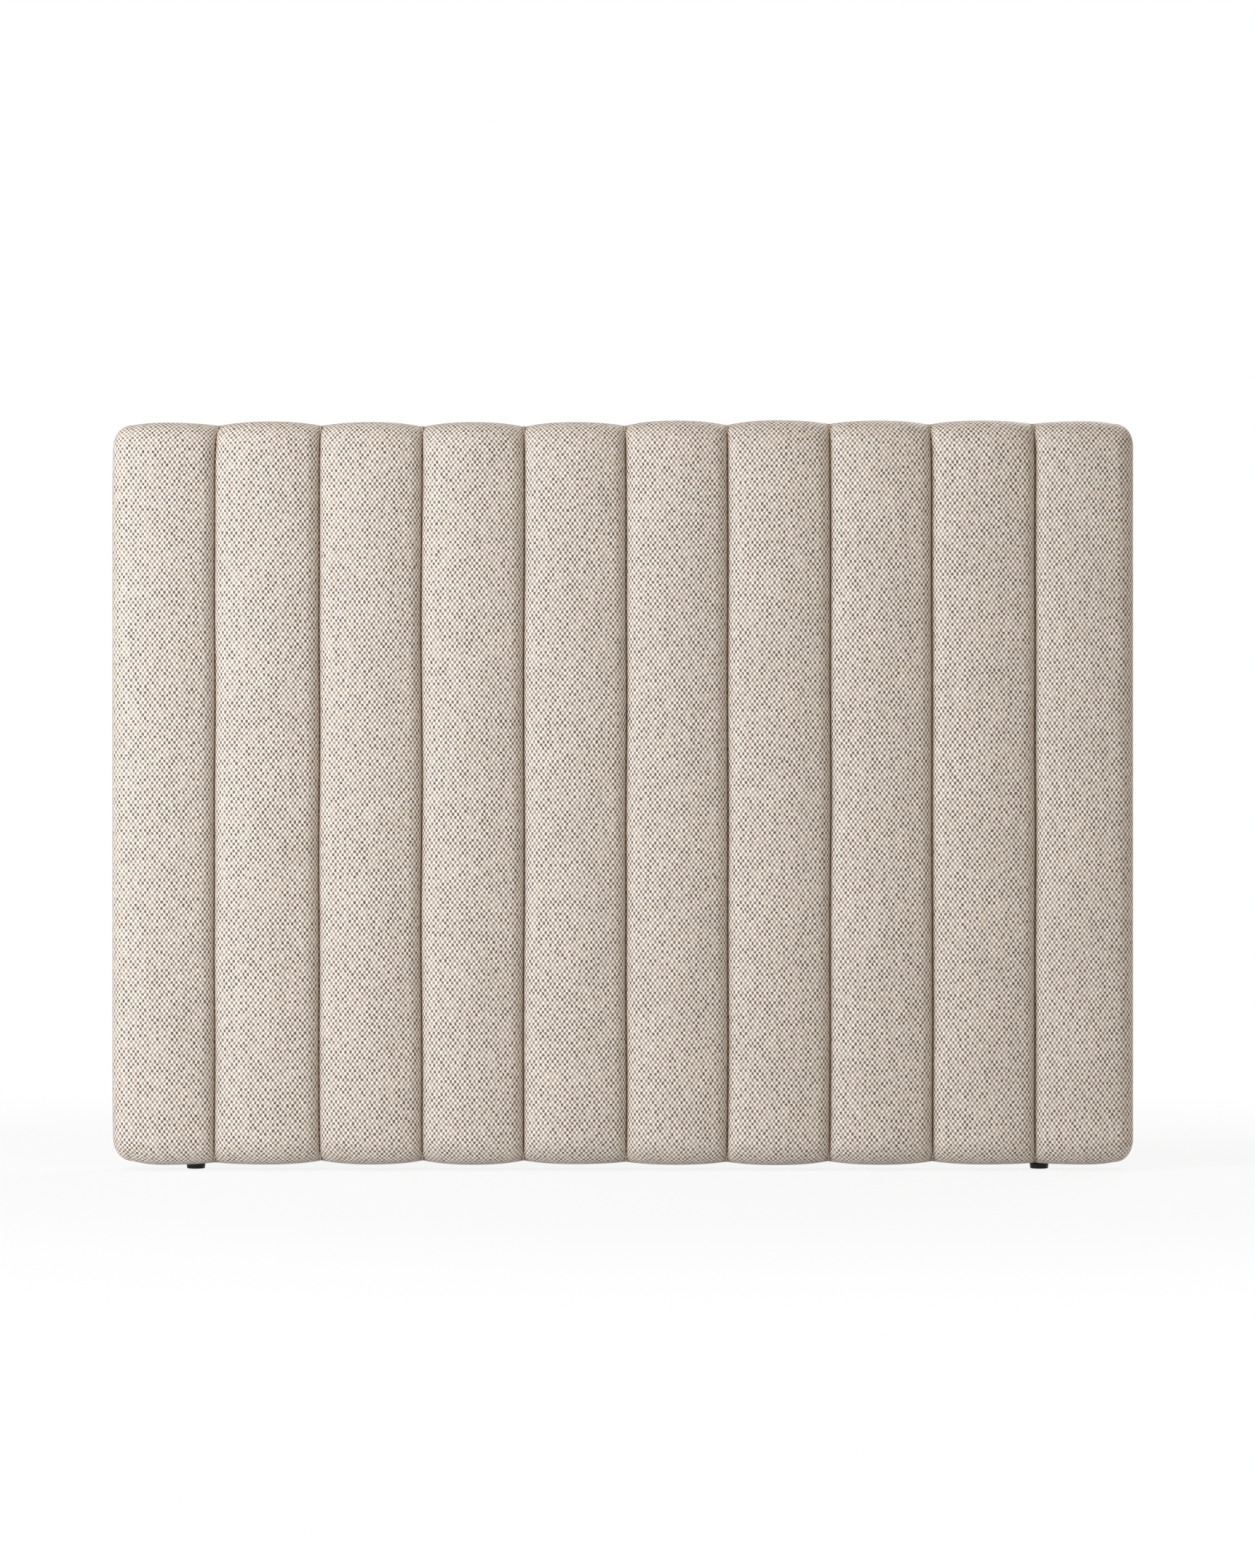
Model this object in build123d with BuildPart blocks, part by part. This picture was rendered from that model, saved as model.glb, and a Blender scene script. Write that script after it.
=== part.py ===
from build123d import *
import os
from math import acos, asin, atan2, cos, degrees, radians, sin, sqrt, tan

# Upholstered headboard with ten upright channels, in millimetres.
# X runs along the width, +X to the right of someone who faces the front.
# Y runs through the depth, with the front at -Y. Z is up, with the floor at zero.
# The origin is on the floor, at the middle of the width and of the depth.

# Overall sizes, over the cover and the feet
width = 1600.0
height = 1176.0
depth = 110.0
foot_showing = 8.0

# Channels: where the seams stand, as shares of the width from the middle
seam_shares = (-0.4008, -0.2988, -0.1980, -0.0973, 0.0028, 0.1023, 0.2026, 0.3028, 0.4029)
cleft_depth = 28.0
shoulder_radius = 22.0
shoulder_lean = 10.0
top_scallop = 6.0
bottom_scallop = 5.0
crown_edge_radius = 42.0
cleft_edge_radius = 25.0
outline_corner_radius = 28.0
side_edge_radius = 34.0
crown_headroom = 1.0
edge_steps = 6

# Cloths and paddings
cover_thickness = 2.0
wadding_thickness = 7.0
cloth_thickness = 0.6
strip_thickness = 2.0
strip_foot_width = 14.0
strip_foot_thickness = 1.0
cover_fold = 35.0
cloth_margin = 16.0
pad_gap = 2.4
soft_clearance = 0.2

# Timber frame and front board
frame_depth = 45.0
board_thickness = 5.0
rail_height = 60.0
stile_width = 60.0
inner_stile_share = 0.3125
corner_block_leg = 90.0
corner_block_depth = 18.0

# Screws and staples
frame_screw_length = 110.0
frame_screw_radius = 2.5
frame_screw_head_radius = 5.0
frame_screw_spacing = 24.0
board_screw_length = 25.0
board_screw_radius = 1.75
board_screw_head_radius = 3.5
board_screw_pitch = 260.0
screw_clearance = 0.1
head_angle = 90.0
staple_wire = 0.6
staple_crown = 10.0
staple_leg = 8.0
cover_staple_pitch = 80.0
cover_staple_inset = 26.0
cloth_staple_pitch = 110.0
cloth_staple_inset = 7.0
strip_wire = 1.0
strip_staple_pitch = 110.0
strip_staple_leg = 5.0

# Bed fixings: threaded inserts in the two outer inner stiles
insert_bore_radius = 4.1
insert_body_radius = 6.0
insert_rim_radius = 8.0
insert_rim_thickness = 1.0
insert_length = 18.0
insert_low_z = 200.0
insert_high_z = 400.0
insert_hole_extra = 6.0
cloth_hole_radius = 11.0

# Levelling feet
left_foot_inset = 128.0
right_foot_inset = 144.0
foot_radius = 15.0
foot_bottom_radius = 14.0
foot_height = 8.5
foot_edge_radius = 2.0
foot_rim_radius = 1.0
foot_collar_radius = 8.0
foot_stop_gap = 0.2
stem_radius = 4.0
stem_length = 50.0
stem_head_radius = 6.0
stem_head_height = 3.0
stem_head_z = 2.5
stem_chamfer = 1.0
running_clearance = 0.05
nut_body_radius = 5.0
nut_flange_radius = 11.0
nut_flange_thickness = 1.5
nut_length = 12.0
foot_way_clearance = 2.0

# One length by which a cut runs past the face that it opens
overrun = 5.0

# Places that follow from the sizes above
back_y = depth / 2
crest_y = cover_thickness - depth / 2
cloth_back_y = back_y - staple_wire
fold_back_y = cloth_back_y - cloth_thickness - staple_wire
frame_back_y = fold_back_y - cover_thickness
frame_front_y = frame_back_y - frame_depth
board_front_y = frame_front_y - board_thickness
side_x = width / 2 - cover_thickness
crest_top_z = height - cover_thickness
crest_bottom_z = foot_showing + cover_thickness
cleft_top_z = crest_top_z - top_scallop
cleft_bottom_z = crest_bottom_z + bottom_scallop
core_side_x = side_x - wadding_thickness
core_top_z = cleft_top_z - wadding_thickness
core_bottom_z = cleft_bottom_z + wadding_thickness
core_height = core_top_z - core_bottom_z
inner_stile_x = inner_stile_share * width
middle_z = (core_top_z + core_bottom_z) / 2
cleft_y = crest_y + cleft_depth
seams = [share * width for share in seam_shares]
edges_x = [-side_x, *seams, side_x]
channel_count = len(edges_x) - 1
foot_y = frame_back_y - frame_depth / 2

os.makedirs("parts", exist_ok=True)


def finish(piece, name):
    piece.label = name
    export_step(piece, f"parts/{name}.step")


def block(x_low, x_high, y_low, y_high, z_low, z_high, mode=Mode.ADD):
    """A box between two corners, in the builder that is open."""
    centre = ((x_low + x_high) / 2, (y_low + y_high) / 2, (z_low + z_high) / 2)
    with Locations(centre):
        Box(x_high - x_low, y_high - y_low, z_high - z_low, mode=mode)


def spread(low, high, pitch):
    """Evenly spaced places from low to high, about one pitch apart."""
    count = max(round((high - low) / pitch), 1)
    return [low + (high - low) * step / count for step in range(count + 1)]


# Channel shape. A channel is cut level by level: each level is a plan section, and the
# levels near the top and bottom draw back so that the front rolls over both edges.


def cleft_front(z):
    """How far forward the seam stands at a height, with the rolled ends of the cleft."""
    top_centre = cleft_top_z - cleft_edge_radius
    bottom_centre = cleft_bottom_z + cleft_edge_radius
    past = max(z - top_centre, bottom_centre - z, 0)
    past = min(past, cleft_edge_radius)
    return cleft_y + cleft_edge_radius - sqrt(cleft_edge_radius**2 - past**2)


def levels():
    """Height, crest place, seam place and share of a skin's lift, from bottom to top."""
    bottom_centre = crest_bottom_z - crown_headroom + crown_edge_radius
    top_centre = crest_top_z + crown_headroom - crown_edge_radius
    found = []
    for centre, way in ((bottom_centre, -1), (top_centre, 1)):
        ring = []
        for step in range(edge_steps + 1):
            angle = radians(step * 90 / edge_steps)
            z = centre + way * crown_edge_radius * sin(angle)
            y = crest_y + crown_edge_radius * (1 - cos(angle))
            ring.append((z, y, cleft_front(z), way * sin(angle)))
        z, y, cleft, lift = ring[-1]
        ring.append((z + way * overrun, y, cleft, lift))
        found += ring if way > 0 else ring[::-1]
    return found


def plan_section(z, x_low, x_high, crest, cleft, skin, left_end, right_end):
    """One closed plan section of a channel: back line, sides, shoulders and crown."""
    middle = (x_low + x_high) / 2
    half = (x_high - x_low) / 2
    rise = cleft - crest
    shoulder = shoulder_radius * rise / cleft_depth
    reach = half - shoulder * cos(radians(shoulder_lean))
    drop = rise + shoulder * sin(radians(shoulder_lean))
    crown = (reach**2 + drop**2 - shoulder**2) / (2 * (drop - shoulder))
    crown_centre = (middle, crest + crown)
    shoulder_y = crest + drop
    turn = degrees(atan2(reach, crown - drop))
    lean = degrees(acos((half - reach) / (shoulder + skin)))
    seam_y = shoulder_y - (shoulder + skin) * sin(radians(lean))
    corner = side_edge_radius * (board_front_y - crest) / (board_front_y - crest_y)
    corner_turn = degrees(asin((half - corner) / (crown - corner)))
    corner_y = crest + crown - (crown - corner) * cos(radians(corner_turn))
    start_turn = corner_turn if left_end else turn
    end_turn = corner_turn if right_end else turn
    back = frame_back_y + skin
    low = x_low - skin if left_end else x_low
    high = x_high + skin if right_end else x_high
    low_y = corner_y if left_end else seam_y
    high_y = corner_y if right_end else seam_y
    with BuildSketch(Plane.XY.offset(z)) as section:
        with BuildLine():
            Line((low, back), (low, low_y))
            if left_end:
                CenterArc((x_low + corner, corner_y), corner + skin, 180, 90 - corner_turn)
            else:
                CenterArc((middle - reach, shoulder_y), shoulder + skin, 180 + lean, 90 - lean - turn)
            CenterArc(crown_centre, crown + skin, 270 - start_turn, start_turn + end_turn)
            if right_end:
                CenterArc((x_high - corner, corner_y), corner + skin, 270 + corner_turn, 90 - corner_turn)
            else:
                CenterArc((middle + reach, shoulder_y), shoulder + skin, 270 + turn, 90 - lean - turn)
            Line((high, high_y), (high, back))
            Line((high, back), (low, back))
        make_face()
    return section


def scallop_arc(middle, half, crest_z, rise, way, low_extra, high_extra):
    """The arc that swells a channel's top (way 1) or bottom (way -1), run past its ends."""
    radius = (half**2 + rise**2) / (2 * rise)
    low_turn = degrees(asin((half + low_extra) / radius))
    high_turn = degrees(asin((half + high_extra) / radius))
    centre = (middle, crest_z - way * radius)
    if way > 0:
        return CenterArc(centre, radius, 90 - high_turn, high_turn + low_turn)
    return CenterArc(centre, radius, 270 - low_turn, high_turn + low_turn)


def front_outline(x_low, x_high, skin, left_end, right_end):
    """The front view of one channel: swollen top and bottom, rounded outer corners."""
    middle = (x_low + x_high) / 2
    half = (x_high - x_low) / 2
    low_extra = skin if left_end else overrun
    high_extra = skin if right_end else overrun
    with BuildSketch(Plane.XZ.offset(-depth)) as front:
        with BuildLine():
            ends = (low_extra, high_extra)
            top = scallop_arc(middle, half, crest_top_z + skin, top_scallop, 1, *ends)
            bottom = scallop_arc(middle, half, crest_bottom_z - skin, bottom_scallop, -1, *ends)
            Line(top @ 1, bottom @ 0)
            Line(bottom @ 1, top @ 0)
        make_face()
        corner = outline_corner_radius + skin
        if left_end:
            fillet(vertices().group_by(Axis.X)[0], corner)
        if right_end:
            fillet(vertices().group_by(Axis.X)[-1], corner)
    return front


def channel_body(index, skin):
    """A whole channel, with all that it holds, out to its pads or out to its cover."""
    x_low = edges_x[index]
    x_high = edges_x[index + 1]
    left_end = index == 0
    right_end = index == channel_count - 1
    with BuildPart() as slab:
        extrude(front_outline(x_low, x_high, skin, left_end, right_end).sketch, amount=2 * depth)
    with BuildPart() as body:
        for z, crest, cleft, lift in levels():
            level_z = z + skin * lift
            section = plan_section(level_z, x_low, x_high, crest, cleft, skin, left_end, right_end)
            add(section.sketch)
        loft(ruled=True)
        add(slab.part, mode=Mode.INTERSECT)
    return body.part


# Where the fasteners stand


def staple_row(places, z, crown_y, leg, wire):
    """Staples with their crowns along X: the crown's outer face at crown_y, legs towards +Y."""
    with BuildSketch(Plane.XY.offset(z - wire / 2)) as row:
        with Locations(*[(x, crown_y + leg / 2) for x in places]):
            Rectangle(staple_crown, leg)
        with Locations(*[(x, crown_y + wire + leg / 2) for x in places]):
            Rectangle(staple_crown - 2 * wire, leg, mode=Mode.SUBTRACT)
    return row


def back_staple_row(places, z, crown_y):
    """Staples in the back, crowns along X: the crown's outer face at crown_y, legs towards -Y."""
    with BuildSketch(Plane.XY.offset(z - staple_wire / 2)) as row:
        with Locations(*[(x, crown_y - staple_leg / 2) for x in places]):
            Rectangle(staple_crown, staple_leg)
        with Locations(*[(x, crown_y - staple_wire - staple_leg / 2) for x in places]):
            Rectangle(staple_crown - 2 * staple_wire, staple_leg, mode=Mode.SUBTRACT)
    return row


def back_staple_column(x, places, crown_y):
    """Staples in the back, crowns along Z: the crown's outer face at crown_y, legs towards -Y."""
    with BuildSketch(Plane.YZ.offset(x - staple_wire / 2)) as column:
        with Locations(*[(crown_y - staple_leg / 2, z) for z in places]):
            Rectangle(staple_leg, staple_crown)
        with Locations(*[(crown_y - staple_wire - staple_leg / 2, z) for z in places]):
            Rectangle(staple_leg, staple_crown - 2 * staple_wire, mode=Mode.SUBTRACT)
    return column


def screw(length, radius, head_radius):
    """A countersunk screw that points down, with its head's face at the origin."""
    head_height = (head_radius - radius) / tan(radians(head_angle / 2))
    with BuildPart() as made:
        with BuildSketch(Plane.XZ):
            with BuildLine():
                Polyline(
                    (0, 0),
                    (head_radius, 0),
                    (radius, -head_height),
                    (radius, radius - length),
                    (0, -length),
                    close=True,
                )
            make_face()
        revolve(axis=Axis.Z)
    return made.part


stile_x = core_side_x - stile_width / 2
stile_places = [-stile_x, -inner_stile_x, 0, inner_stile_x, stile_x]
rail_low_z = core_bottom_z + rail_height
rail_high_z = core_top_z - rail_height
bottom_screws = [
    Location((x + side * frame_screw_spacing / 2, foot_y, core_bottom_z), (180, 0, 0))
    for x in stile_places
    for side in (-1, 1)
]
top_screws = [
    Location((x + side * frame_screw_spacing / 2, foot_y, core_top_z))
    for x in stile_places
    for side in (-1, 1)
]
board_places = [
    (x, z)
    for x in spread(-stile_x, stile_x, board_screw_pitch)
    for z in (core_bottom_z + rail_height / 2, core_top_z - rail_height / 2)
]
board_places += [
    (x, z)
    for x in stile_places
    for z in spread(rail_low_z, rail_high_z, board_screw_pitch)[1:-1]
]
board_screws_at = [Location((x, board_front_y, z), (90, 0, 0)) for x, z in board_places]
foot_places = {"left": left_foot_inset - width / 2, "right": width / 2 - right_foot_inset}
insert_places = [
    (x, z) for x in (-inner_stile_x, inner_stile_x) for z in (insert_low_z, insert_high_z)
]


def frame_screw_ways(places):
    with Locations(*places):
        CounterSinkHole(
            frame_screw_radius + screw_clearance,
            frame_screw_head_radius + screw_clearance,
            frame_screw_length + screw_clearance,
            head_angle,
        )


def board_screw_ways(x_low, x_high, z_low, z_high):
    """Holes for the board's screws in one piece that fills this stretch of the front view."""
    near = [
        place
        for place, (x, z) in zip(board_screws_at, board_places)
        if x_low <= x <= x_high and z_low <= z <= z_high
    ]
    with Locations(*near):
        CounterSinkHole(
            board_screw_radius + screw_clearance,
            board_screw_head_radius + screw_clearance,
            board_screw_length + screw_clearance,
            head_angle,
        )


# Timber frame: two rails with five stiles between them

with BuildPart() as bottom_rail:
    block(-core_side_x, core_side_x, frame_front_y, frame_back_y, core_bottom_z, rail_low_z)
    frame_screw_ways(bottom_screws)
    board_screw_ways(-core_side_x, core_side_x, core_bottom_z, rail_low_z)
    stem_way = stem_head_z + stem_head_height + stem_length + overrun - core_bottom_z
    for x in foot_places.values():
        with Locations((x, foot_y, core_bottom_z + stem_way / 2)):
            Cylinder(stem_radius + foot_way_clearance / 2, stem_way, mode=Mode.SUBTRACT)
        with Locations((x, foot_y, core_bottom_z + nut_length / 2)):
            Cylinder(nut_body_radius + running_clearance, nut_length, mode=Mode.SUBTRACT)
finish(bottom_rail.part, "bottom_rail")

with BuildPart() as top_rail:
    block(-core_side_x, core_side_x, frame_front_y, frame_back_y, rail_high_z, core_top_z)
    frame_screw_ways(top_screws)
    board_screw_ways(-core_side_x, core_side_x, rail_high_z, core_top_z)
finish(top_rail.part, "top_rail")

stile_names = ["left_stile", "inner_stile_left", "inner_stile_middle", "inner_stile_right", "right_stile"]
for name, x in zip(stile_names, stile_places):
    near = [place for place in bottom_screws + top_screws if abs(place.position.X - x) < stile_width / 2]
    with BuildPart() as stile:
        low = x - stile_width / 2
        high = x + stile_width / 2
        block(low, high, frame_front_y, frame_back_y, rail_low_z, rail_high_z)
        frame_screw_ways(near)
        board_screw_ways(low, high, rail_low_z, rail_high_z)
        for insert_x, insert_z in insert_places:
            if insert_x == x:
                with Locations(Location((insert_x, frame_back_y, insert_z), (-90, 0, 0))):
                    CounterBoreHole(
                        insert_body_radius + running_clearance,
                        insert_rim_radius + running_clearance,
                        insert_rim_thickness,
                        insert_length + insert_hole_extra,
                    )
    finish(stile.part, name)

for side_name, side in (("left", -1), ("right", 1)):
    for end_name, end in (("bottom", -1), ("top", 1)):
        corner_x = side * (stile_x - stile_width / 2)
        corner_z = rail_high_z if end > 0 else rail_low_z
        with BuildPart() as corner_block:
            with BuildSketch(Plane.XZ.offset(-foot_y - corner_block_depth / 2)):
                with BuildLine():
                    Polyline(
                        (corner_x, corner_z),
                        (corner_x - side * corner_block_leg, corner_z),
                        (corner_x, corner_z - end * corner_block_leg),
                        close=True,
                    )
                make_face()
            extrude(amount=corner_block_depth)
        finish(corner_block.part, f"{end_name}_{side_name}_corner_block")

with BuildPart() as frame_screws:
    with Locations(*bottom_screws, *top_screws):
        add(screw(frame_screw_length, frame_screw_radius, frame_screw_head_radius))
finish(frame_screws.part, "frame_screws")

with BuildPart() as front_board:
    block(-core_side_x, core_side_x, board_front_y, frame_front_y, core_bottom_z, core_top_z)
    board_screw_ways(-core_side_x, core_side_x, core_bottom_z, core_top_z)
finish(front_board.part, "front_board")

with BuildPart() as board_screws:
    with Locations(*board_screws_at):
        add(screw(board_screw_length, board_screw_radius, board_screw_head_radius))
finish(board_screws.part, "board_screws")


# Wadding round the edge of the frame, under the cover

with BuildPart() as wadding_band:
    with BuildSketch(Plane.XZ.offset(-frame_back_y)):
        with BuildLine():
            tops = []
            bottoms = []
            for x_low, x_high in zip(edges_x[:-1], edges_x[1:]):
                middle = (x_low + x_high) / 2
                half = (x_high - x_low) / 2
                tops.append(scallop_arc(middle, half, crest_top_z, top_scallop, 1, 0, 0))
                bottoms.append(scallop_arc(middle, half, crest_bottom_z, bottom_scallop, -1, 0, 0))
            Line(tops[0] @ 1, bottoms[0] @ 0)
            Line(bottoms[-1] @ 1, tops[-1] @ 0)
        make_face()
        fillet(vertices().group_by(Axis.X)[0], outline_corner_radius)
        fillet(vertices().group_by(Axis.X)[-1], outline_corner_radius)
        with Locations((0, middle_z)):
            Rectangle(2 * core_side_x, core_height, mode=Mode.SUBTRACT)
    extrude(amount=frame_back_y - board_front_y)

wadding_parts = {
    "top_wadding": (-width, width, core_top_z, height),
    "bottom_wadding": (-width, width, 0, core_bottom_z),
    "left_wadding": (-width, 0, core_bottom_z, core_top_z),
    "right_wadding": (0, width, core_bottom_z, core_top_z),
}
for name, (x_low, x_high, z_low, z_high) in wadding_parts.items():
    with BuildPart() as wadding:
        add(wadding_band.part)
        block(x_low, x_high, -depth, depth, z_low, z_high, mode=Mode.INTERSECT)
        if name == "bottom_wadding":
            for x in foot_places.values():
                with Locations((x, foot_y, core_bottom_z / 2)):
                    Cylinder(nut_flange_radius + foot_way_clearance, core_bottom_z, mode=Mode.SUBTRACT)
    finish(wadding.part, name)


# Channels: a foam pad and a cover panel each

for index in range(channel_count):
    x_low = edges_x[index]
    x_high = edges_x[index + 1]
    left_end = index == 0
    right_end = index == channel_count - 1
    inside = channel_body(index, 0)
    outside = channel_body(index, cover_thickness)
    pad_low = x_low - overrun if left_end else x_low + pad_gap / 2
    pad_high = x_high + overrun if right_end else x_high - pad_gap / 2

    with BuildPart() as channel_pad:
        add(inside)
        block(pad_low, pad_high, -depth, board_front_y, 0, height, mode=Mode.INTERSECT)
        if not left_end:
            rebate_high = x_low + strip_thickness / 2 + strip_foot_width + soft_clearance
            rebate_y = board_front_y - strip_foot_thickness - strip_wire - soft_clearance
            block(x_low, rebate_high, rebate_y, depth, -overrun, height + overrun, mode=Mode.SUBTRACT)
    finish(channel_pad.part, f"channel_pad_{index + 1:02d}")

    with BuildPart() as cover_panel:
        add(outside)
        add(inside, mode=Mode.SUBTRACT)
        window_low = x_low - cover_thickness + cover_fold if left_end else x_low - overrun
        window_high = x_high + cover_thickness - cover_fold if right_end else x_high + overrun
        window_bottom = cleft_bottom_z - cover_thickness + cover_fold
        window_top = cleft_top_z + cover_thickness - cover_fold
        window = (window_low, window_high, foot_y, depth, window_bottom, window_top)
        block(*window, mode=Mode.SUBTRACT)
        foot_hole = foot_collar_radius + foot_way_clearance
        for x in foot_places.values():
            if x_low - foot_hole < x < x_high + foot_hole:
                with Locations((x, foot_y, core_bottom_z / 2)):
                    Cylinder(foot_hole, core_bottom_z, mode=Mode.SUBTRACT)
    finish(cover_panel.part, f"cover_panel_{index + 1:02d}")


# Pull strips: one at each seam, with a foot along the board, and their staples

for index, x in enumerate(seams):
    with BuildPart() as pull_strip:
        with BuildSketch(Plane.YZ.offset(x - strip_thickness / 2)):
            front_edge = [(cleft, z) for z, crest, cleft, lift in levels()]
            low_corner = (board_front_y, front_edge[0][1])
            high_corner = (board_front_y, front_edge[-1][1])
            with BuildLine():
                Polyline(low_corner, *front_edge, high_corner, close=True)
            make_face()
            with Locations((0, (cleft_bottom_z + cleft_top_z) / 2)):
                Rectangle(depth, cleft_top_z - cleft_bottom_z, mode=Mode.INTERSECT)
        extrude(amount=strip_thickness)
        foot_high = x + strip_thickness / 2 + strip_foot_width
        block(x, foot_high, board_front_y - strip_foot_thickness, board_front_y, core_bottom_z, core_top_z)
    finish(pull_strip.part, f"pull_strip_{index + 1:02d}")

with BuildPart() as strip_staples:
    staple_x = [x + (strip_thickness + strip_foot_width) / 2 for x in seams]
    crown_y = board_front_y - strip_foot_thickness - strip_wire
    margin = strip_staple_pitch / 2
    for z in spread(core_bottom_z + margin, core_top_z - margin, strip_staple_pitch):
        leg = strip_wire + strip_staple_leg
        extrude(staple_row(staple_x, z, crown_y, leg, strip_wire).sketch, amount=strip_wire)
finish(strip_staples.part, "strip_staples")


# The back: the staples in the cover's fold, then the back cloth and its staples

with BuildPart() as cover_staples:
    crown_y = fold_back_y + staple_wire
    row_end = width / 2 - cover_staple_inset - cover_fold
    low_z = cleft_bottom_z - cover_thickness + cover_staple_inset
    high_z = cleft_top_z + cover_thickness - cover_staple_inset
    row_places = spread(-row_end, row_end, cover_staple_pitch)
    column_places = spread(low_z + cover_fold, high_z - cover_fold, cover_staple_pitch)
    for z in (low_z, high_z):
        extrude(back_staple_row(row_places, z, crown_y).sketch, amount=staple_wire)
    for side in (-1, 1):
        x = side * (width / 2 - cover_staple_inset)
        extrude(back_staple_column(x, column_places, crown_y).sketch, amount=staple_wire)
finish(cover_staples.part, "cover_staples")

cloth_side_x = width / 2 - cloth_margin
cloth_low_z = cleft_bottom_z - cover_thickness + cloth_margin
cloth_high_z = cleft_top_z + cover_thickness - cloth_margin
with BuildPart() as back_cloth:
    front_y = cloth_back_y - cloth_thickness
    block(-cloth_side_x, cloth_side_x, front_y, cloth_back_y, cloth_low_z, cloth_high_z)
    for x, z in insert_places:
        with Locations(Location((x, cloth_back_y, z), (-90, 0, 0))):
            Hole(cloth_hole_radius, 2 * cloth_thickness)
finish(back_cloth.part, "back_cloth")

with BuildPart() as back_cloth_staples:
    row_end = cloth_side_x - cloth_staple_inset - cover_fold
    low_z = cloth_low_z + cloth_staple_inset
    high_z = cloth_high_z - cloth_staple_inset
    row_places = spread(-row_end, row_end, cloth_staple_pitch)
    column_places = spread(low_z + cover_fold, high_z - cover_fold, cloth_staple_pitch)
    for z in (low_z, high_z):
        extrude(back_staple_row(row_places, z, back_y).sketch, amount=staple_wire)
    for side in (-1, 1):
        x = side * (cloth_side_x - cloth_staple_inset)
        extrude(back_staple_column(x, column_places, back_y).sketch, amount=staple_wire)
finish(back_cloth_staples.part, "back_cloth_staples")


# Bed fixings: threaded inserts, flush with the back of the inner stiles

with BuildPart() as bed_fixing_inserts:
    for x, z in insert_places:
        with BuildSketch(Plane((x, frame_back_y, z), x_dir=(1, 0, 0), z_dir=(0, 1, 0))):
            Circle(insert_body_radius)
            Circle(insert_bore_radius, mode=Mode.SUBTRACT)
        extrude(amount=-insert_length)
        with BuildSketch(Plane((x, frame_back_y, z), x_dir=(1, 0, 0), z_dir=(0, 1, 0))):
            Circle(insert_rim_radius)
            Circle(insert_bore_radius, mode=Mode.SUBTRACT)
        extrude(amount=-insert_rim_thickness)
finish(bed_fixing_inserts.part, "bed_fixing_inserts")


# Levelling feet: a tee nut in the rail, a threaded stem and a plastic pad

stem_top = stem_head_z + stem_head_height + stem_length
nut_face_z = core_bottom_z - nut_flange_thickness
for side_name, foot_x in foot_places.items():
    centre_line = Axis((foot_x, foot_y, 0), (0, 0, 1))
    foot_plane = Plane((foot_x, foot_y, 0), x_dir=(1, 0, 0), z_dir=(0, -1, 0))

    with BuildPart() as tee_nut:
        with BuildSketch(foot_plane):
            with BuildLine():
                Polyline(
                    (stem_radius + running_clearance, nut_face_z),
                    (nut_flange_radius, nut_face_z),
                    (nut_flange_radius, core_bottom_z),
                    (nut_body_radius, core_bottom_z),
                    (nut_body_radius, core_bottom_z + nut_length),
                    (stem_radius + running_clearance, core_bottom_z + nut_length),
                    close=True,
                )
            make_face()
        revolve(axis=centre_line)
    finish(tee_nut.part, f"{side_name}_foot_tee_nut")

    with BuildPart() as foot_stem:
        with BuildSketch(foot_plane):
            with BuildLine():
                Polyline(
                    (0, stem_head_z),
                    (stem_head_radius, stem_head_z),
                    (stem_head_radius, stem_head_z + stem_head_height),
                    (stem_radius, stem_head_z + stem_head_height),
                    (stem_radius, stem_top - stem_chamfer),
                    (stem_radius - stem_chamfer, stem_top),
                    (0, stem_top),
                    close=True,
                )
            make_face()
        revolve(axis=centre_line)
    finish(foot_stem.part, f"{side_name}_foot_stem")

    with BuildPart() as foot_pad:
        socket_radius = stem_head_radius + running_clearance
        socket_low = stem_head_z - running_clearance
        socket_high = stem_head_z + stem_head_height + running_clearance
        with BuildSketch(foot_plane):
            with BuildLine():
                Polyline(
                    (0, 0),
                    (foot_bottom_radius, 0),
                    (foot_radius, foot_height),
                    (foot_collar_radius, foot_height),
                    (foot_collar_radius, nut_face_z - foot_stop_gap),
                    (stem_radius + running_clearance, nut_face_z - foot_stop_gap),
                    (stem_radius + running_clearance, socket_high),
                    (socket_radius, socket_high),
                    (socket_radius, socket_low),
                    (0, socket_low),
                    close=True,
                )
            make_face()
            fillet(vertices().group_by(Axis.X)[-1], foot_rim_radius)
            fillet(vertices().filter_by(lambda v: v.Y == 0 and v.X > 0), foot_edge_radius)
        revolve(axis=centre_line)
    finish(foot_pad.part, f"{side_name}_foot_pad")
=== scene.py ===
import math

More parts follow.
